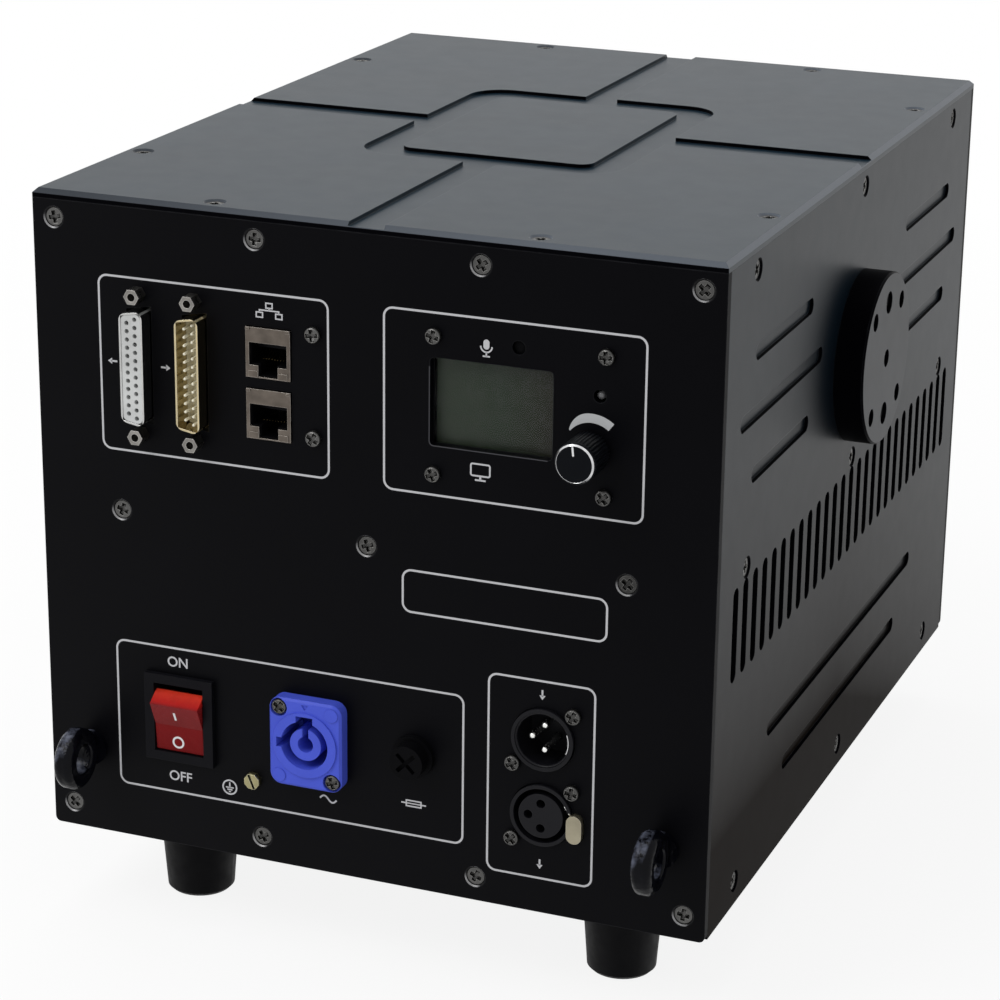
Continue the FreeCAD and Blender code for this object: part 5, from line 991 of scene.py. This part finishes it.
def screws():
    """Cross-head screws with rounded rims, the rim of each countersink, painted bright where it looks up and to the
    right and dark elsewhere, and the domed earth screw.
    """
    cross = recess(4, 1.45, 2.05)
    heads, seats = Build(), Build()
    dents = ((0.55, 1.25), (0.9, 0.8), (1.0, 0.1), (1.08, 0.0))
    for k, (end, way, radius, length) in enumerate(rods("case_screws")):
        rings = ((radius - 0.25, 0.0), (radius - 0.08, 0.07), (radius, 0.25), (1.6, 1.75), (1.6, length))
        screw(heads, end, way, cross, 37 * k % 90, dents, rings)
        if way.y:
            seat = [(radius + 0.56, -0.58), (radius + 0.12, -0.14), (radius + 0.14, -0.12),
                    (radius + 0.58, -0.56), (radius + 0.56, -0.58)]
            seats.lathe(seat, end, -way, 40)
    made = heads.make("case_screws_worked", "screw", slot="screw_steel")
    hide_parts("case_screws")
    seats.make("screw_seats", "seat", slot="screw_steel")

    heads = Build()
    dents = ((0.5, 1.2), (0.9, 0.7), (1.0, 0.08), (1.05, 0.02))
    for k, (end, way, radius, length) in enumerate(rods("panel_screws")):
        rings = ((radius - 0.5, 0.05), (radius - 0.22, 0.22), (radius - 0.05, 0.55), (radius, 0.95),
                 (radius, 1.7), (1.5, 1.7), (1.5, length))
        screw(heads, end, way, cross, (53 * k + 20) % 90, dents, rings)
    made = heads.make("panel_screws_worked", "screw", slot="screw_steel")
    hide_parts("panel_screws")

    head = Build()
    dents = ((0.9, 1.0), (1.0, 0.3))
    for end, way, radius, length in rods("earth_screw"):
        rings = ((radius - 0.22, 0.42), (radius - 0.06, 0.75), (radius, 1.1), (radius, 2.2), (2.0, 2.2),
                 (2.0, length))
        screw(head, end, way, recess(2, 0.9, radius - 0.35), 68, dents, rings)
    made = head.make("earth_screw_worked", "brass", slot="brass")
    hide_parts("earth_screw")


def plug_pins():
    """Round-nosed pins of the 25-pin plug."""
    pins = Build()
    for end, way, radius, length in rods("dsub_in_pins"):
        pins.lathe(round_nose(radius, length, 18), end, -way, 14)
    made = pins.make("plug_pins", "gold", slot="gold_pin", smooth=True)
    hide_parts("dsub_in_pins")


def microphone_felt():
    """Felt disc behind the microphone's hole."""
    profile = [(TIP, 0.0), (1.2, 0.05), (2.05, 0.25), (2.15, 0.6), (2.15, 1.6), (TIP, 1.6)]
    felt = Build().lathe(profile, at(51.3, 189.4, -1.2), INWARDS, 32)
    felt.make("microphone_felt", "foam", slot="black_plastic")


knob_trim()
rocker_marks()
lamp_dome()
display_face()
jack_contacts()
pin_noses()
socket_trim()
microphone_felt()
screws()
plug_pins()


# ---------------------------------------------------------------- light, floor and camera, in metres

FLOOR_REACH = 6.0
FLOOR_TONE = 0.82
ROOM_LIGHT = 0.6
# how much of the floor's look is plain white, near the part and far from it
WHITE_NEAR, WHITE_FAR = 0.88, 1.0
NEAR, FAR = 0.3, 1.0
# the camera fitted to the photo: its place from the connector panel's low corner, and its turn in degrees
CAMERA_PLACE = (0.497369, -0.843204, 0.451393)
CAMERA_TURN = (71.01737, -0.67152, 21.84973)
CAMERA_SENSOR, CAMERA_LENS = 36.0, 110.7402  # mm


def empty_tree(owner):
    owner.use_nodes = True
    owner.node_tree.nodes.clear()
    return owner.node_tree


def grey(tree, kind, tone):
    made = tree.nodes.new(kind)
    made.inputs["Color"].default_value = (tone, tone, tone, 1)
    return made


def combine(tree, operation, a, b):
    made = tree.nodes.new("ShaderNodeMath")
    made.operation = operation
    tree.links.new(a, made.inputs[0])
    tree.links.new(b, made.inputs[1])
    return made.outputs[0]


def seen_rays(tree):
    """One for rays that show the background: from the camera, off shiny faces and through glass."""
    path = tree.nodes.new("ShaderNodeLightPath").outputs
    seen = path["Is Camera Ray"]
    for name in ("Is Glossy Ray", "Is Transmission Ray"):
        seen = combine(tree, "MAXIMUM", seen, path[name])
    return seen


def blend(tree, share, a, b, output):
    """End a tree with a mix of two shaders."""
    mix = tree.nodes.new("ShaderNodeMixShader")
    for socket, value in zip(mix.inputs, (share, a.outputs[0], b.outputs[0])):
        tree.links.new(value, socket)
    tree.links.new(mix.outputs[0], tree.nodes.new(output).inputs[0])


def room():
    """Even light from all round, which looks plain white itself."""
    world = bpy.data.worlds.new("studio")
    bpy.context.scene.world = world
    tree = empty_tree(world)
    dim, white = (grey(tree, "ShaderNodeBackground", 1.0) for _ in range(2))
    dim.inputs["Strength"].default_value = ROOM_LIGHT
    blend(tree, seen_rays(tree), dim, white, "ShaderNodeOutputWorld")


def floor_paper():
    """Pale paper with a soft shadow, which fades into the white of the room."""
    mesh = bpy.data.meshes.new("floor")
    outline = corners(-FLOOR_REACH, FLOOR_REACH, -FLOOR_REACH, FLOOR_REACH)
    mesh.from_pydata([(x, y, 0) for x, y in outline], [], [(0, 1, 2, 3)])
    floor = bpy.data.objects.new("floor", mesh)
    bpy.context.scene.collection.objects.link(floor)
    mat = bpy.data.materials.new("floor_paper")
    tree = empty_tree(mat)
    away = tree.nodes.new("ShaderNodeVectorMath")
    away.operation = "LENGTH"
    tree.links.new(tree.nodes.new("ShaderNodeNewGeometry").outputs["Position"], away.inputs[0])
    fade = tree.nodes.new("ShaderNodeMapRange")
    for name, value in (("From Min", NEAR), ("From Max", FAR), ("To Min", WHITE_NEAR), ("To Max", WHITE_FAR)):
        fade.inputs[name].default_value = value
    tree.links.new(away.outputs["Value"], fade.inputs["Value"])
    share = combine(tree, "MULTIPLY", seen_rays(tree), fade.outputs["Result"])
    paper, glow = grey(tree, "ShaderNodeBsdfDiffuse", FLOOR_TONE), grey(tree, "ShaderNodeEmission", 1.0)
    blend(tree, share, paper, glow, "ShaderNodeOutputMaterial")
    mesh.materials.append(mat)


def lamp(name, place, target, size, power):
    """A square soft lamp that looks at a target."""
    light = bpy.data.lights.new(name, "AREA")
    light.shape = "RECTANGLE"
    light.size = light.size_y = size
    light.energy = power
    made = bpy.data.objects.new(name, light)
    made.location = place
    made.rotation_euler = (Vector(target) - Vector(place)).to_track_quat("-Z", "Y").to_euler()
    bpy.context.scene.collection.objects.link(made)


def photo_camera():
    camera = bpy.data.cameras.new("camera")
    camera.sensor_fit = "HORIZONTAL"
    camera.sensor_width = CAMERA_SENSOR
    camera.lens = CAMERA_LENS
    camera.clip_start = 0.05
    camera.clip_end = 60.0
    made = bpy.data.objects.new("camera", camera)
    made.location = panel_low + Vector(CAMERA_PLACE)
    made.rotation_euler = tuple(math.radians(turn) for turn in CAMERA_TURN)
    bpy.context.scene.collection.objects.link(made)
    bpy.context.scene.camera = made


bpy.context.scene.view_settings.view_transform = "Standard"
room()
floor_paper()
lamp("key", (-1.0, -1.2, 1.7), (0, 0, 0.12), 1.0, 16.0)
lamp("top", (-0.3, 0.2, 1.9), (0, 0, 0.1), 1.4, 14.0)
photo_camera()
